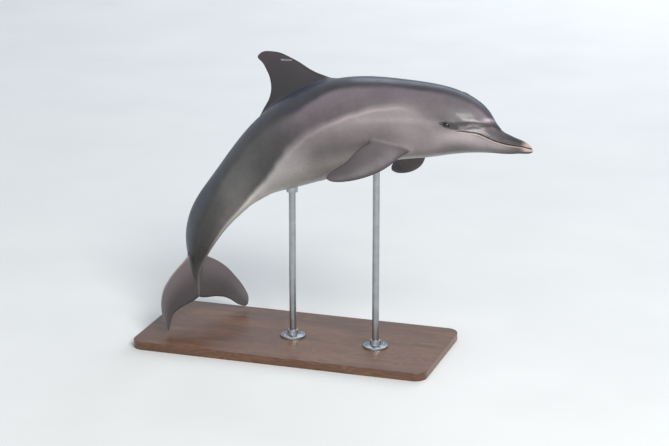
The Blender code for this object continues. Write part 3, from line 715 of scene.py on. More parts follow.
# the coat's pattern with painted light in it, kept on the skin as values for the shader: each line is
# (station, angle, shade of the paint out of 255), and the paint blends from line to line
pattern = {
    "lines": {
        "back": (
            (0, 0, 70), (.03, 0, 46), (.05, 0, 54), (.10, 0, 64), (.20, 0, 58), (.35, 0, 60), (.50, 0, 54),
            (.70, 0, 60), (.85, 0, 46), (1, 0, 56)),
        "cape": (
            (0, 20, 74), (.03, 22, 45), (.05, 24, 54), (.10, 26, 74), (.15, 26, 69), (.205, 30, 60),
            (.243, 33, 54), (.292, 32, 58), (.328, 34, 63), (.364, 36, 60), (.392, 37, 56), (.425, 46, 56),
            (.463, 56, 60), (.533, 56, 63), (.603, 60, 68), (.70, 70, 66), (.80, 84, 52), (.90, 96, 43),
            (1, 105, 56)),
        "capeEdge": (
            (0, 34, 78), (.03, 36, 46), (.05, 38, 60), (.08, 40, 82), (.10, 38, 116), (.15, 38, 88),
            (.205, 41, 95), (.243, 44, 95), (.292, 43, 95), (.328, 46, 98), (.364, 46, 102),
            (.392, 48, 105), (.425, 57, 102), (.463, 68, 100), (.533, 68, 76), (.603, 72, 78),
            (.70, 86, 84), (.80, 98, 60), (.90, 108, 49), (1, 115, 66)),
        "flank": (
            (0, 58, 80), (.03, 64, 56), (.06, 68, 48), (.08, 73, 66), (.10, 72, 63), (.13, 74, 79),
            (.16, 80, 70), (.19, 78, 88), (.22, 60, 92), (.26, 60, 99), (.30, 63, 92), (.344, 72, 88),
            (.389, 80, 86), (.449, 86, 84), (.50, 92, 70), (.55, 105, 60), (.60, 121, 61), (.65, 131, 95),
            (.70, 138, 112), (.75, 146, 112), (.80, 148, 100), (.85, 150, 80), (.90, 152, 60), (1, 155, 80)),
        # streak: a pale band along the flank, partly the coat's own pale blaze and partly painted highlight
        "streak": (
            (0, 88, 84), (.03, 92, 76), (.06, 98, 128), (.10, 93, 126), (.13, 92, 146), (.16, 102, 138),
            (.195, 112, 121), (.215, 96, 108), (.24, 76, 116), (.26, 70, 120), (.30, 73, 118),
            (.344, 81, 124), (.389, 88, 126), (.449, 95, 106), (.482, 101, 112), (.523, 110, 144),
            (.558, 119, 154), (.60, 131, 168), (.65, 140, 200), (.70, 149, 216), (.75, 159, 196),
            (.80, 163, 174), (.85, 165, 146), (.90, 168, 96), (1, 170, 100)),
        # shade: the darker band under the streak is painted shade, and shade, pale and belly are painted
        # darker under the throat as painted shade
        "shade": (
            (0, 120, 62), (.06, 136, 98), (.10, 146, 98), (.13, 134, 90), (.16, 134, 98), (.20, 150, 122),
            (.25, 128, 114), (.30, 120, 86), (.35, 122, 96), (.40, 120, 86), (.45, 116, 90),
            (.50, 130, 142), (.55, 138, 150), (.60, 144, 160), (.65, 152, 182), (.70, 160, 188),
            (.80, 170, 158), (.90, 173, 92), (1, 174, 96)),
        "pale": (
            (0, 150, 56), (.06, 160, 62), (.10, 162, 80), (.20, 164, 108), (.25, 146, 124), (.30, 138, 110),
            (.35, 140, 112), (.40, 142, 112), (.45, 138, 112), (.50, 146, 132), (.60, 156, 156),
            (.70, 170, 180), (.80, 176, 150), (1, 177, 96)),
        "belly": (
            (0, 180, 56), (.06, 180, 66), (.10, 180, 86), (.20, 180, 108), (.40, 180, 112), (.50, 180, 116),
            (.60, 180, 142), (.70, 180, 168), (.80, 180, 142), (.88, 180, 100), (1, 180, 92)),
    },
    "soften": (.012, 7),                # half run and count of the stations averaged
    "waver": (.9, 90, 75), "waverRun": (.19, .3),      # degrees, middle angle and its reach
    "waves": ((23, .045, .3), (53, -.071, 1.9), (117, .13, 4.1), (231, -.19, 2.6)), "waveFade": .45,
    # painted highlights under the streak and over the eye stripe: shade and half width in metres, with the
    # degrees under the streak or the metres under the stripe
    "streakHighlight": (16, 1, .007), "streakHighlightRun": (.23, .28, .48, .54),
    "melonHighlight": (62, .019, .010), "melonHighlightRun": (.088, .096, .104, .124),
    # the back's slate blue, partly the cape's own colour and partly painted reflection of the sky
    "slateAndSkySheen": (26, 4), "slateAndSkySheenLeast": .15, "slateAndSkySheenRun": (.30, .46),      # degrees over and under the cape's line
}


# a line's angle or shade by station, averaged over a short run so that the line's joints don't show
def softened(station, rows, column):
    run, count = pattern["soften"]
    places, values = np.array(rows, float)[:, [0, column]].T
    return sum(np.interp(station + shift, places, values) for shift in np.linspace(-run, run, count)) / count


# place between the lines (1 more at each line, from 0 on the back) and the shade of the paint there; a
# slow waver of waves that don't repeat together moves the borders; a painted highlight under the streak
# and a painted highlight over the eye stripe are added paler
def patternAt(station, side):
    place, shade = np.zeros_like(station), np.zeros_like(station)
    (size, middle, reach), slowest = pattern["waver"], pattern["waves"][0][0]
    waver = sum(np.sin(along * station + around * side + start) * (slowest / along)**pattern["waveFade"]
                for along, around, start in pattern["waves"])
    side = side + size * waver * bell(side - middle, reach) * ease(station, *pattern["waverRun"])
    side = np.clip(side, 0, 180)
    lines = {name: [softened(station, rows, i) for i in (1, 2)] for name, rows in pattern["lines"].items()}
    pairs = list(lines.values())
    for i, ((low, lowShade), (high, highShade)) in enumerate(zip(pairs, pairs[1:])):
        share = ease(side, low, np.maximum(high, low + 1))
        place = np.where(side >= low, i + share, place)
        shade = np.where(side >= low, lowShade + (highShade - lowShade) * share, shade)
    # a painted highlight line just under the streak
    amount, under, half = pattern["streakHighlight"]
    streakHighlight = (side - lines["streak"][0] - under) * perDegree(station, side)
    shade += amount * bell(streakHighlight, half) * window(station, *pattern["streakHighlightRun"])
    # a painted highlight over the eye stripe, on the front of the melon
    amount, under, half = pattern["melonHighlight"]
    melonHighlight = bell(stripeDistance(station, side, head["stripe"]) - under, half)
    return place / (len(lines) - 1), (shade + amount * melonHighlight * window(station, *pattern["melonHighlightRun"])) / 255


# one value for each point of the skin, all read by its shader: one gives how much of the back's slate
# blue shows, partly the cape's own colour and partly painted reflection of the sky; finAcross and finReach
# are the shares of chord and span at the nearest point of a fin
def markSkin(skin, finPoints, finMarks):
    points = pointsOf(skin.data)
    station, angle, outside = bodyPlace(points)
    side = np.abs(angle)
    ahead, above = eyePlane(station, side)
    band, shade = patternAt(station, side)
    cape, (over, under) = softened(station, pattern["lines"]["cape"], 1), pattern["slateAndSkySheen"]
    least, rear = pattern["slateAndSkySheenLeast"], ease(station, *pattern["slateAndSkySheenRun"])
    slateAndSkySheen = (1 - ease(side, cape - over, cape + under)) * (least + (1 - least) * rear)
    across, reach = finMarks[nearestOf(points, finPoints)[0]].T
    marks = {
        "station": station, "girth": angle, "finOut": outside, "finAcross": across, "finReach": reach,
        "band": band, "shade": shade, "slateAndSkySheen": slateAndSkySheen,
        "mouth": mouthDistance(station, side), "crease": creaseDistance(station, side),
        "eyeGap": lidDistance(ahead, above), "eyeAhead": ahead, "eyeAbove": above,
        "stripe": stripeDistance(station, side, head["stripe"]),
    }
    for name, values in marks.items():
        giveAttribute(skin.data, name, values)
    return list(marks)


# colour out of 255 to linear, with the alpha that sockets take
def toLinear(colour):
    colour = np.array(colour, float) / 255
    return tuple(np.where(colour <= .04045, colour / 12.92, ((colour + .055) / 1.055)**2.4)) + (1,)


# a socket is linked, a colour or number is set
def feed(tree, value, socket):
    if isinstance(value, bpy.types.NodeSocket):
        tree.links.new(value, socket)
    elif isinstance(value, tuple) and socket.type == "RGBA":
        socket.default_value = toLinear(value)
    else:
        socket.default_value = value


# a new node of a kind, its inputs fed in order or by name
def makeNode(tree, kind, *values, **named):
    node = tree.nodes.new("ShaderNode" + kind)
    for value, socket in zip(values, node.inputs):
        feed(tree, value, socket)
    for name, value in named.items():
        feed(tree, value, node.inputs[name])
    return node


# a material whose one Principled shader takes what build gives for its sockets
def makeMaterial(name, build):
    made = bpy.data.materials.new(name)
    made.use_nodes = True
    tree = made.node_tree
    tree.nodes.clear()
    shader = makeNode(tree, "BsdfPrincipled")
    makeNode(tree, "OutputMaterial", shader.outputs[0])
    for socket, value in build(tree).items():
        feed(tree, value, shader.inputs[socket])
    return made


# a sum on sockets or numbers, named by its operation
def mathNode(tree, operation, *values):
    node = makeNode(tree, "Math")
    node.operation = operation
    for value, socket in zip(values, node.inputs):
        feed(tree, value, socket)
    return node.outputs[0]


# the product of all the values
def timesNode(tree, product, *others):
    for other in others:
        product = mathNode(tree, "MULTIPLY", product, other)
    return product


# the same for vectors; a dot product and a distance come out as one value
def vectorNode(tree, operation, first, second):
    node = makeNode(tree, "VectorMath", first)
    node.operation = operation
    feed(tree, second, node.inputs["Scale" if operation == "SCALE" else 1])
    return node.outputs["Value" if operation in ("DOT_PRODUCT", "DISTANCE") else "Vector"]


# value between two levels brought to 0..1, or to another range, along an even S
def rampNode(tree, value, low, high, lowTo=0.0, highTo=1.0):
    node = makeNode(tree, "MapRange", value, low, high, lowTo, highTo)
    node.interpolation_type = "SMOOTHSTEP"
    return node.outputs[0]


# colour = first + share x (second - first)
def mixNode(tree, share, first, second):
    node = tree.nodes.new("ShaderNodeMix")
    node.data_type = "RGBA"
    for value, socket in zip((share, first, second), (node.inputs[0], node.inputs[6], node.inputs[7])):
        feed(tree, value, socket)
    return node.outputs[2]


# colour by value, eased between (place, colour) stops
def colourRamp(tree, value, stops):
    node = makeNode(tree, "ValToRGB", value)
    band = node.color_ramp
    band.interpolation = "EASE"
    while len(band.elements) < len(stops):
        band.elements.new(.5)
    for element, (place, colour) in zip(band.elements, stops):
        element.position, element.color = place, toLinear(colour)
    return node.outputs[0]


# object coordinates, stretched and turned
def coordinates(tree, stretch=(1, 1, 1), turn=(0, 0, 0)):
    place = makeNode(tree, "TexCoord").outputs["Object"]
    return makeNode(tree, "Mapping", place, Scale=stretch, Rotation=turn).outputs[0]


# soft noise from 0 to 1; the scale is in rounds a metre
def noiseNode(tree, where, scale, detail=3.0, roughness=.5, distortion=0.0):
    node = makeNode(tree, "TexNoise", Vector=where, Scale=scale, Detail=detail, Roughness=roughness,
                    Distortion=distortion)
    return node.outputs["Fac"]


# one of the mesh's own values
def attributeNode(tree, name):
    node = makeNode(tree, "Attribute")
    node.attribute_name = name
    return node.outputs["Fac"]


# normal tilted by the slope of a height
def bumpNode(tree, height, strength, distance):
    return makeNode(tree, "Bump", Height=height, Strength=strength, Distance=distance).outputs[0]


# how far off a straight run: the distance to its nearest point, start + held share x run
def strokeNode(tree, where, start, end):
    run = np.array(end) - np.array(start)
    offset = vectorNode(tree, "SUBTRACT", where, start)
    share = makeNode(tree, "Clamp", vectorNode(tree, "DOT_PRODUCT", offset, run / run.dot(run))).outputs[0]
    return vectorNode(tree, "DISTANCE", offset, vectorNode(tree, "SCALE", run, share))


unevenLook = {"detail": 4, "roughness": .6, "between": (.3, .7)}


# shared by the skin, the eyes and the steel: noise at a scale, brought to the range low..high
def makeUnevenness():
    group = bpy.data.node_groups.new("unevenness", "ShaderNodeTree")
    for name in ("Place", "Scale", "Low", "High"):
        kind = "NodeSocketVector" if name == "Place" else "NodeSocketFloat"
        group.interface.new_socket(name, in_out="INPUT", socket_type=kind)
    group.interface.new_socket("Value", in_out="OUTPUT", socket_type="NodeSocketFloat")
    given, out = group.nodes.new("NodeGroupInput").outputs, group.nodes.new("NodeGroupOutput")
    noise = noiseNode(group, given["Place"], given["Scale"], unevenLook["detail"], unevenLook["roughness"])
    value = rampNode(group, noise, *unevenLook["between"], given["Low"], given["High"])
    group.links.new(value, out.inputs["Value"])
    return group


unevenness = makeUnevenness()


# the shared group, set to a scale and a range
def unevenNode(tree, where, scale, low, high):
    node = tree.nodes.new("ShaderNodeGroup")
    node.node_tree = unevenness
    for value, socket in zip((where, scale, low, high), node.inputs):
        feed(tree, value, socket)
    return node.outputs["Value"]


skinLook = {
    "tints": ((0, (123, 123, 134)), (.12, (128, 122, 131)), (.26, (134, 123, 129)), (.42, (134, 124, 128)),
              (.57, (135, 125, 126)), (1, (132, 127, 122))),
    "tailTint": (131, 131, 127), "tailRun": (.45, .60, 0.0, .75), "tintGrey": 128, "tintWander": .12,
    "noises": {          # scale, detail, roughness
        "wander": (6.5, 5, .55), "mottle": (38, 4, .6), "speckle": (210, 4, .65), "flecks": (75, 5, .68),
        "rakePlaces": (4.3, 2), "grain": (34, 3)},
    "amounts": {"wander": .085, "mottle": .050, "speckle": .045},      # of the shade
    "darkest": .02, "gamma": 2.2,
    "finTones": (        # colour at low and at high, field, low, high, and the stations where it takes over
        ((78, 70, 73), (57, 51, 54), "wornReach", .2, 1.0, ()),
        ((59, 56, 58), (72, 63, 68), "wornReach", .5, 1.0, (.38, .44)),
        # flukes paler over their leading half: partly their own tone, partly painted highlight
        ((98, 90, 92), (72, 67, 68), "unevenAcross", .12, .72, (.80, .84))),
    "finCoats": {
        "rearRim": ((40, 37, 38), .5, ("unevenAcross", .93, .99)),
        "frontRim": ((40, 37, 38), .5, ("unevenAcross", .05, .01), ("station", .84, .80)),
        # a pale line along the flukes' leading edge: painted highlight
        "flukeFrontHighlight": ((168, 150, 146), .6, ("finAcross", .035, .008), ("station", .80, .84),
                       ("finReach", .75, .5))},
    "coats": {           # colour, strength and the ramps (field, from, to) whose product is the mask
        "flecks": ((0, 0, 0), .30, ("flecks", .55, .66), ("band", .60, .80), ("station", .36, .50)),
        # slate blue on the back: partly the cape's own colour, partly painted reflection of the sky
        "slateBackAndSkySheen": ((66, 70, 90), .45, ("slateAndSkySheen",)),
        "eyeStripe": ((44, 42, 42), .85, ("offStripe", .0130, .0045), ("station", .086, .10),
                      ("station", .176, .168), ("station", .10, .155, .55, 1.0)),
        # darker along the melon crease: painted shade in the crease
        "melonCreaseShade": ((44, 42, 42), .6, ("offCrease", .010, .001), ("side", 74, 52), ("station", .14, .12)),
        "eyePatch": ((44, 42, 42), .9, ("oval", 1.20, .72)),
        "lidRim": ((40, 38, 39), .85, ("offLid", .0030, .0004)),
        "beakTip": ((184, 160, 147), .8, ("wornStation", .027, .012), ("side", 122, 96)),
        "mouthTint": ((122, 94, 80), .42, ("offMouth", .0065, .0015), ("station", .158, .146)),
        # a pale line along the lower lip: painted wet highlight
        "lowerLipHighlight": ((178, 164, 156), .5, ("offLip", .0040, .0012), ("station", .158, .146)),
        "mouthGap": ((34, 27, 26), .9, ("offGap", .0042, .0016), ("station", .158, .146)),
        "rose": ((176, 146, 142), .4, ("side", 150, 176), ("station", .60, .66), ("station", .76, .70)),
        "fin": (None, 1, ("offBody", .004, .014)),      # takes the fins' own tone
        "rakes": ((150, 146, 146), .16, ("rakes", .13, .06), ("rakePlaces", .55, .62),
                  ("offBody", .014, .004)),
        "longScar": ((158, 140, 142), .75, ("longScar", .0064, .00192), ("mottle", .30, .52)),
        "shortScar": ((158, 140, 142), .5, ("shortScar", .0016, .00048), ("mottle", .30, .52))},
    # lipAt places the painted highlight on the lower lip under the mouth
    "lipAt": .0052, "gapAt": .0008,      # metres under and over the mouth
    "patch": (.013, 21.0, .05, .0008, 66.0, .5),      # place, 1 / length, its tilt, lift, 1 / height, wander
    "worn": {"stripe": .006, "station": .010, "reach": .5, "across": .10, "offBody": .006},
    "rakeStretch": (4.5, 70, 95), "rakeTurn": (.25, -.6, .2), "rakeScale": 1.3,
    "scars": {"longScar": ((-.083, .056, 1.3585), (-.036, .053, 1.3600)),      # on the dorsal fin
              "shortScar": ((-.060, .050, 1.318), (-.052, .050, 1.300))},
    "rough": (16, .32, .46), "dull": .14, "coat": .30, "coatLoss": .25, "dullBeak": (.085, .060),
    "grain": (.30, .35, .0012), "coatRough": .14, "ior": 1.40,      # grain: speckle's share, strength, depth
}


# shade of the pattern with its unevenness, tinted by band and station, then painted coat by coat:
# each coat mixes its colour in by strength x the product of its ramps
def skinNodes(tree):
    look = skinLook
    plus, minus, most, size, power, over, timesPlus = (partial(mathNode, tree, name) for name in (
        "ADD", "SUBTRACT", "MAXIMUM", "ABSOLUTE", "POWER", "DIVIDE", "MULTIPLY_ADD"))
    times, ramp, mix = partial(timesNode, tree), partial(rampNode, tree), partial(mixNode, tree)
    where = coordinates(tree)
    field = {name: attributeNode(tree, name) for name in skinMarks}
    field.update({name: noiseNode(tree, where, *values) for name, values in look["noises"].items()})
    field.update({name: strokeNode(tree, where, *ends) for name, ends in look["scars"].items()})

    # value + amount x (noise - 1/2)
    def swung(value, noise, amount):
        return plus(value, times(minus(field[noise], .5), amount))

    worn, station = look["worn"], field["station"]
    place, long, tilt, lift, high, wander = look["patch"]
    ahead = times(minus(field["eyeAhead"], place), long)
    above = times(minus(field["eyeAbove"], timesPlus(field["eyeAhead"], tilt, lift)), high)
    oval = mathNode(tree, "SQRT", plus(times(ahead, ahead), times(above, above)))
    lines = makeNode(tree, "TexVoronoi", Vector=coordinates(tree, look["rakeStretch"], look["rakeTurn"]),
                     Scale=look["rakeScale"])
    field.update({
        "side": size(field["girth"]), "oval": swung(oval, "wander", wander),
        "offStripe": size(swung(field["stripe"], "wander", worn["stripe"])),
        "offCrease": size(field["crease"]), "offLid": size(field["eyeGap"]), "offMouth": size(field["mouth"]),
        "offLip": size(plus(field["mouth"], look["lipAt"])),
        "offGap": size(minus(field["mouth"], look["gapAt"])),
        "wornStation": swung(station, "mottle", worn["station"]), "rakes": lines.outputs["Distance"],
        "wornReach": swung(field["finReach"], "wander", worn["reach"]),
        "unevenAcross": swung(field["finAcross"], "mottle", worn["across"]),
        "offBody": swung(field["finOut"], "wander", worn["offBody"]),
    })
    masks = {}

    # colour under its coats; a coat with no colour of its own takes the fins' tone
    def coated(colour, coats, finTone=None):
        for name, (paint, strength, *ramps) in coats.items():
            masks[name] = times(*(ramp(field[follows], *levels) if levels else field[follows]
                                  for follows, *levels in ramps))
            colour = mix(times(masks[name], strength), colour, paint or finTone)
        return colour

    shade = field["shade"]
    for noise, amount in look["amounts"].items():
        shade = swung(shade, noise, amount)
    light = power(most(shade, look["darkest"]), look["gamma"])
    light = over(light, float(toLinear([look["tintGrey"]])[0]))
    tint = colourRamp(tree, swung(field["band"], "wander", look["tintWander"]), look["tints"])
    tint = mix(ramp(station, *look["tailRun"]), tint, look["tailTint"])
    finTone = None
    for low, high, follows, start, end, takesOver in look["finTones"]:
        tone = mix(ramp(field[follows], start, end), low, high)
        finTone = mix(ramp(station, *takesOver), finTone, tone) if takesOver else tone
    finTone = coated(finTone, look["finCoats"])
    colour = coated(vectorNode(tree, "SCALE", tint, light), look["coats"], finTone)

    dull = most(most(masks["eyePatch"], masks["eyeStripe"]), masks["fin"])
    dull = most(dull, ramp(station, *look["dullBeak"]))
    share, strength, depth = look["grain"]
    grain = plus(times(field["speckle"], share), field["grain"])
    rough = timesPlus(dull, look["dull"], unevenNode(tree, where, *look["rough"]))
    coat = timesPlus(dull, -look["coatLoss"], look["coat"])
    return {"Base Color": colour, "Roughness": rough, "Coat Weight": coat,
            "Coat Roughness": look["coatRough"], "IOR": look["ior"],
            "Normal": bumpNode(tree, grain, strength, depth)}


eyeLook = {
    "tones": ((.0, (8, 8, 10)), (.26, (10, 10, 12)), (.34, (22, 18, 16)), (.58, (31, 26, 22)),
              (.66, (14, 12, 12)), (.8, (58, 48, 46)), (1, (84, 70, 66))),
    "wander": (420, 3), "wanderShare": .10, "rough": (90, .10, .16), "coat": .25, "coatRough": .05,
    "spokeCount": 46.0, "spokeRun": (.2, 1), "spokeShare": .25, "spokeTone": (70, 58, 44),
}


# dark pupil, brown ring and pale white by the distance from the pupil, with faint spokes
def eyeNodes(tree):
    look, where = eyeLook, coordinates(tree)
    math, times = partial(mathNode, tree), partial(timesNode, tree)
    wander = noiseNode(tree, where, *look["wander"])
    ring = math("MULTIPLY_ADD", wander, look["wanderShare"], attributeNode(tree, "fromPupil"))
    spokes = math("SINE", times(attributeNode(tree, "roundPupil"), look["spokeCount"]))
    spokes = times(rampNode(tree, spokes, *look["spokeRun"]), look["spokeShare"])
    return {"Base Color": mixNode(tree, spokes, colourRamp(tree, ring, look["tones"]), look["spokeTone"]),
            "Roughness": unevenNode(tree, where, *look["rough"]), "Coat Weight": look["coat"],
            "Coat Roughness": look["coatRough"]}


woodLook = {
    "noises": {          # stretch, scale, detail, roughness, distortion
        "rings": ((1.1, 5.5, 5.5), 1.3, 3, .5, 1.2), "band": ((.8, 7, 7), 2.0, 4, .55, .6),
        "fibre": ((6, 170, 170), 2.6, 4, .6), "pores": ((22, 420, 420), 1.6, 2, .5)},
    "ringCount": 95.0, "shares": {"rings": .07, "band": .62, "fibre": .30},
    "tones": ((.20, (58, 37, 25)), (.42, (88, 58, 39)), (.60, (112, 77, 52)), (.80, (94, 62, 42)),
              (1, (70, 45, 31))),
    "poreRun": (.62, .70), "poreShare": .45, "poreTone": (42, 27, 19),
    "rough": (.2, .9, .36, .48), "coat": .25, "coatRough": .22, "grain": (.25, .0006),
}


# rings, bands and fibres of noise drawn out along the board, with dark pores
def woodNodes(tree):
    look, share = woodLook, woodLook["shares"]
    math, times = partial(mathNode, tree), partial(timesNode, tree)
    noise = {name: noiseNode(tree, coordinates(tree, stretch), *values)
             for name, (stretch, *values) in look["noises"].items()}
    rings = math("SINE", times(noise["rings"], look["ringCount"]))
    pores = rampNode(tree, noise["pores"], *look["poreRun"])
    value = math("MULTIPLY_ADD", rings, share["rings"], times(noise["band"], share["band"]))
    value = math("MULTIPLY_ADD", noise["fibre"], share["fibre"], value)
    colour, pored = colourRamp(tree, value, look["tones"]), times(pores, look["poreShare"])
    return {"Base Color": mixNode(tree, pored, colour, look["poreTone"]),
            "Roughness": rampNode(tree, value, *look["rough"]),
            "Coat Weight": look["coat"], "Coat Roughness": look["coatRough"],
            "Normal": bumpNode(tree, math("SUBTRACT", noise["fibre"], pores), *look["grain"])}


steelLook = {
    "brush": (150, 150, 3), "brushed": (1.0, 3, .6), "brushShare": .10, "grain": (.12, .0003),
    "patches": (22, 4, .6), "patchRun": (.3, .7), "tones": ((172, 174, 178), (160, 162, 166)),
    "rough": (22, .22, .30), "metallic": 1.0,
}


# brushed along the rods, in two close greys
def steelNodes(tree):
    look, where = steelLook, coordinates(tree)
    brushed = noiseNode(tree, coordinates(tree, look["brush"]), *look["brushed"])
    patches = rampNode(tree, noiseNode(tree, where, *look["patches"]), *look["patchRun"])
    rough = unevenNode(tree, where, *look["rough"])
    rough = mathNode(tree, "MULTIPLY_ADD", brushed, look["brushShare"], rough)
    return {"Base Color": mixNode(tree, patches, *look["tones"]), "Roughness": rough,
            "Metallic": look["metallic"], "Normal": bumpNode(tree, brushed, *look["grain"])}


eyeball = {"rings": 44, "around": 64, "cornea": (.0011, 33), "markReach": .85, "markSquash": 1.5}


# a sphere round its own pole that faces out of the head; near the pole the radius swells by the
# cornea's bell; the marks give the distance from the pupil and the bearing round it
def makeEyeball(side, paint):
    mirror = 1 if side == "right" else -1
    station, angle = np.array([eye["station"]]), np.array([eye["angle"] * mirror])
    out = outward(station, angle)[0]
    centre = plainBody(station, angle)[0] + out * (eye["bulge"] - eye["radius"])
    forward = axisAt(station)[1][0]
    ahead = unit(forward - out * forward.dot(out))
    third = np.cross(out, ahead)
    tilt = np.linspace(0, np.pi, eyeball["rings"] + 2)[1:-1]
    turn = np.linspace(0, 2 * np.pi, eyeball["around"], endpoint=False)
    tilt, turn = np.meshgrid(tilt, turn, indexing="ij")
    cornea, reach = eyeball["cornea"]
    radius = eye["radius"] + cornea * bell(np.degrees(tilt), reach) - cornea
    way = (np.sin(tilt) * np.cos(turn))[..., None] * ahead + (np.sin(tilt) * np.sin(turn))[..., None] * third
    way = way + np.cos(tilt)[..., None] * out
    ends = [centre + out * eye["radius"], centre - out * eye["radius"]]
    mesh = meshFrom("eyeball" + side.title(), gridSheet(centre + radius[..., None] * way, ends))
    offsets = pointsOf(mesh) - centre
    across, along = offsets @ third, offsets @ ahead
    inFront = offsets @ out > 0
    wide = np.hypot(along, across * eyeball["markSquash"]) / (eye["radius"] * eyeball["markReach"])
    giveAttribute(mesh, "fromPupil", np.where(inFront, wide, 1))
    giveAttribute(mesh, "roundPupil", np.arctan2(across, along))
    return placeObject(mesh.name, mesh, paint)


stand = {
    "base": (1.44, .64, .040), "corner": .060, "edge": .004, "edgeCells": 8, "cornerCells": 24,
    "rods": {"front": .335, "rear": .535},      # stations that the rods stand under
    "rodRadius": .016, "rodEdges": (.001, .003), "socket": .060, "gap": .0003, "around": (48, 64, 96, 14),
    "collarRadius": .027, "collarDrop": .020, "collarEdge": .002, "collarShoulder": .3,
    "collarTuck": .0001,
    "bellyBetween": (.5, 1.05), "bellyRounds": 26, "sharp": (40, 35),
    "flange": (      # radius, height
        (.060, 0), (.060, .007), (.0591, .0091), (.057, .010), (.030, .010), (.0272, .0112), (.026, .014),
        (.026, .032), (.0254, .0334), (.024, .034), (.0163, .034), (.0163, 0)),
    "screwRing": .044, "screwTurns": (45, 135, 225, 315),
    "screw": ((.0056, .0099), (.0056, .0110), (.0046, .0124), (.0030, .0132), (.0014, .0128)),
}


# slab = rounded-corner outline drawn in from the edge: a closed run of outlines from the underside's
# middle, round the eased edge, to the top's middle
def makeBase(wood):
    length, width, height = stand["base"]
    corner, edge, quarterTurn = stand["corner"], stand["edge"], np.pi / 2
    quadrant, turn = np.divmod(np.arange(4 * stand["cornerCells"]), stand["cornerCells"])
    turn = turn / (stand["cornerCells"] - 1) * quarterTurn + quadrant * quarterTurn
    ways = np.stack([np.cos(turn), np.sin(turn)], -1)
    middles = np.array([[1, 1], [-1, 1], [-1, -1], [1, -1]]) * [length / 2 - corner, width / 2 - corner]
    bend = np.linspace(0, quarterTurn, stand["edgeCells"])
    out, up = edge * (1 - np.sin(bend)), edge * (1 - np.cos(bend))
    insets, heights = np.concatenate([out, up])[:, None, None], np.concatenate([up, height - out])
    outlines = middles[quadrant] + ways * (corner - insets)
    heights = np.broadcast_to(heights[:, None, None], outlines[..., :1].shape)
    outlines = np.concatenate([outlines, heights], -1)
    mesh = meshFrom("displayBase", gridSheet(outlines))
    mesh.set_sharp_from_angle(angle=np.radians(stand["sharp"][0]))
    return placeObject("displayBase", mesh, wood)


# turned part: each (radius, height) of the profile carried round a full circle
def turned(profile, x, y, z, around):
    radius, up = np.array(profile, float).T[..., None]
    turn = np.linspace(0, 2 * np.pi, around, endpoint=False)
    return np.stack([x + radius * np.cos(turn), y + radius * np.sin(turn), z + up + 0 * turn], -1)


# height of the belly over floor points: the middle of a bracket is kept on the outline's own side
def bellyOver(x, y):
    low, high = (np.full(x.shape, level) for level in stand["bellyBetween"])
    for _ in range(stand["bellyRounds"]):
        middle = (low + high) / 2
        outside = bodyPlace(np.stack([x, y, middle], -1))[2]
        low, high = np.where(outside > 0, middle, low), np.where(outside > 0, high, middle)
    return (low + high) / 2


# a ring round the rod whose top follows the belly: straight below, three rings of belly height above,
# and one ring halfway up each wall
def collarSheet(x, y, belly):
    around, soft, outer = stand["around"][2], stand["collarEdge"], stand["collarRadius"]
    bore, drop = stand["rodRadius"] + stand["gap"], belly - stand["collarDrop"]
    tops = turned([(outer, 0), ((outer + bore) / 2, 0), (bore, 0)], x, y, 0, around)
    for ring in tops:
        ring[:, 2] = bellyOver(ring[:, 0], ring[:, 1]) - stand["collarTuck"]
    shoulder = soft * stand["collarShoulder"]
    steps = [(bore, 0), (bore, 0), (outer - soft, 0), (outer - shoulder, shoulder), (outer, soft), (outer, 0)]
    sides = turned(steps, x, y, drop, around)
    sides[0, :, 2], sides[5, :, 2] = (drop + tops[2, :, 2]) / 2, (drop + tops[0, :, 2]) / 2
    return gridSheet(np.concatenate([sides, tops]), loop=True)


# for each station: a rod up into its socket, a flange with its screws, and a collar at the belly
def makeStand(steel):
    foot = stand["base"][2] + stand["gap"]
    radius, (low, top) = stand["rodRadius"], stand["rodEdges"]
    rodAround, flangeAround, _, screwAround = stand["around"]
    for label, station in stand["rods"].items():
        x, y = axisAt(np.array([station]))[0][0, :2]
        belly = bellyOver(np.array([x]), np.array([y]))[0]
        end = belly + stand["socket"]
        rod = [(radius - low, foot), (radius, foot + low), (radius, end - top), (radius - top, end)]
        turns, ring = np.radians(stand["screwTurns"]), stand["screwRing"]
        screws = [turned(stand["screw"], x + ring * np.cos(turn), y + ring * np.sin(turn), foot, screwAround)
                  for turn in turns]
        flange = turned(stand["flange"], x, y, foot, flangeAround)
        for kind, node, sheets in (
                ("standRod", "stand_rod_", [gridSheet(turned(rod, x, y, 0, rodAround))]),
                ("standFlange", "stand_flange_", [gridSheet(flange, loop=True), *map(gridSheet, screws)]),
                ("standCollar", "stand_collar_", [collarSheet(x, y, belly)])):
            mesh = meshFrom(kind + label.title(), *sheets)
            mesh.set_sharp_from_angle(angle=np.radians(stand["sharp"][1]))
            piece = placeObject(mesh.name, mesh, steel)
            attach(piece, "root")
            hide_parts(node + label)


print("skin")
skin, finPoints, finMarks = makeSkin()
skinMarks = markSkin(skin, finPoints, finMarks)
skin.data.materials.append(makeMaterial("dolphinSkin", skinNodes))
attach(skin, "root")
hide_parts("upper_jaw", "lower_jaw", "melon", "head", "neck", "chest", "trunk", "loins", "tail_stock",
            "dorsal_fin", "flipper_right", "flipper_left", "fluke_right", "fluke_left")

print("eyes")
eyePaint = makeMaterial("eye", eyeNodes)
for label in ("right", "left"):
    ball = makeEyeball(label, eyePaint)
    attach(ball, "root")
    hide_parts("eye_" + label)

print("stand")
base = makeBase(makeMaterial("baseWood", woodNodes))
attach(base, "root")
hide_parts("stand_base")
makeStand(makeMaterial("standSteel", steelNodes))

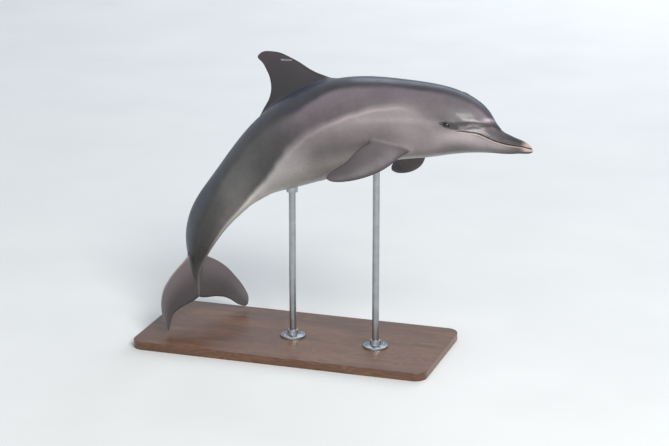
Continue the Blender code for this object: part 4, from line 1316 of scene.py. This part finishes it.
print("room")
room = {
    "floor": 120.0, "floorTones": ((208, 208, 206), (220, 220, 218)), "floorNoise": (1.4, 3),
    "floorRough": .85,
    "world": (.80, .86, .92, 1), "worldStrength": .55,
    "camera": (3.21982556, -9.32060165, 3.6101072), "aim": (0.26468134, -0.22560295, 0.68639016),
    "lens": 118.65, "clipEnd": 400, "lightAim": (.1, 0, .9),
    "lights": {      # place, size, power, colour, and whether the shine on the pieces shows it
        "keySoft": ((6.6, -6.8, 8.3), (4.8, 4.8), 1320, (1, .985, .96), True),
        "wideLow": ((1.0, -14.4, 5.1), (10, 3.2), 360, (1, 1, 1), True),
        "skySoft": ((.4, 10.4, 10.3), (12, 6), 460, (.70, .83, 1), True),
        "farSoft": ((4, 16, 5.5), (10, 6), 1700, (.92, .95, 1), False)},
}


# two close pale greys by slow noise
def floorNodes(tree):
    tone = noiseNode(tree, coordinates(tree), *room["floorNoise"])
    return {"Base Color": mixNode(tree, tone, *room["floorTones"]), "Roughness": room["floorRough"]}


# one flat square, its edges far out of view
def makeFloor():
    half = room["floor"]
    mesh = bpy.data.meshes.new("floor")
    corners = [(-half, -half, 0), (half, -half, 0), (half, half, 0), (-half, half, 0)]
    mesh.from_pydata(corners, [], [(0, 1, 2, 3)])
    return placeObject("floor", mesh, makeMaterial("floor", floorNodes))


# a light or camera at its place, its own -Z turned to the aim
def placeAimed(name, data, place, aim):
    made = placeObject(name, data)
    made.location = place
    made.rotation_euler = (Vector(aim) - Vector(place)).to_track_quat("-Z", "Y").to_euler()
    return made


makeFloor()
for name, (place, size, power, colour, shows) in room["lights"].items():
    data = bpy.data.lights.new(name, "AREA")
    data.shape, (data.size, data.size_y) = "RECTANGLE", size
    data.energy, data.color = power, colour
    light = placeAimed(name, data, place, room["lightAim"])
    light.visible_camera, light.visible_glossy = False, shows

world = bpy.data.worlds.new("room")
world.use_nodes = True
background = world.node_tree.nodes["Background"]
background.inputs["Color"].default_value = room["world"]
background.inputs["Strength"].default_value = room["worldStrength"]
bpy.context.scene.world = world
bpy.context.scene.view_settings.view_transform = "Standard"

cameraData = bpy.data.cameras.new("camera")
cameraData.lens, cameraData.clip_end = room["lens"], room["clipEnd"]
bpy.context.scene.camera = placeAimed("camera", cameraData, room["camera"], room["aim"])
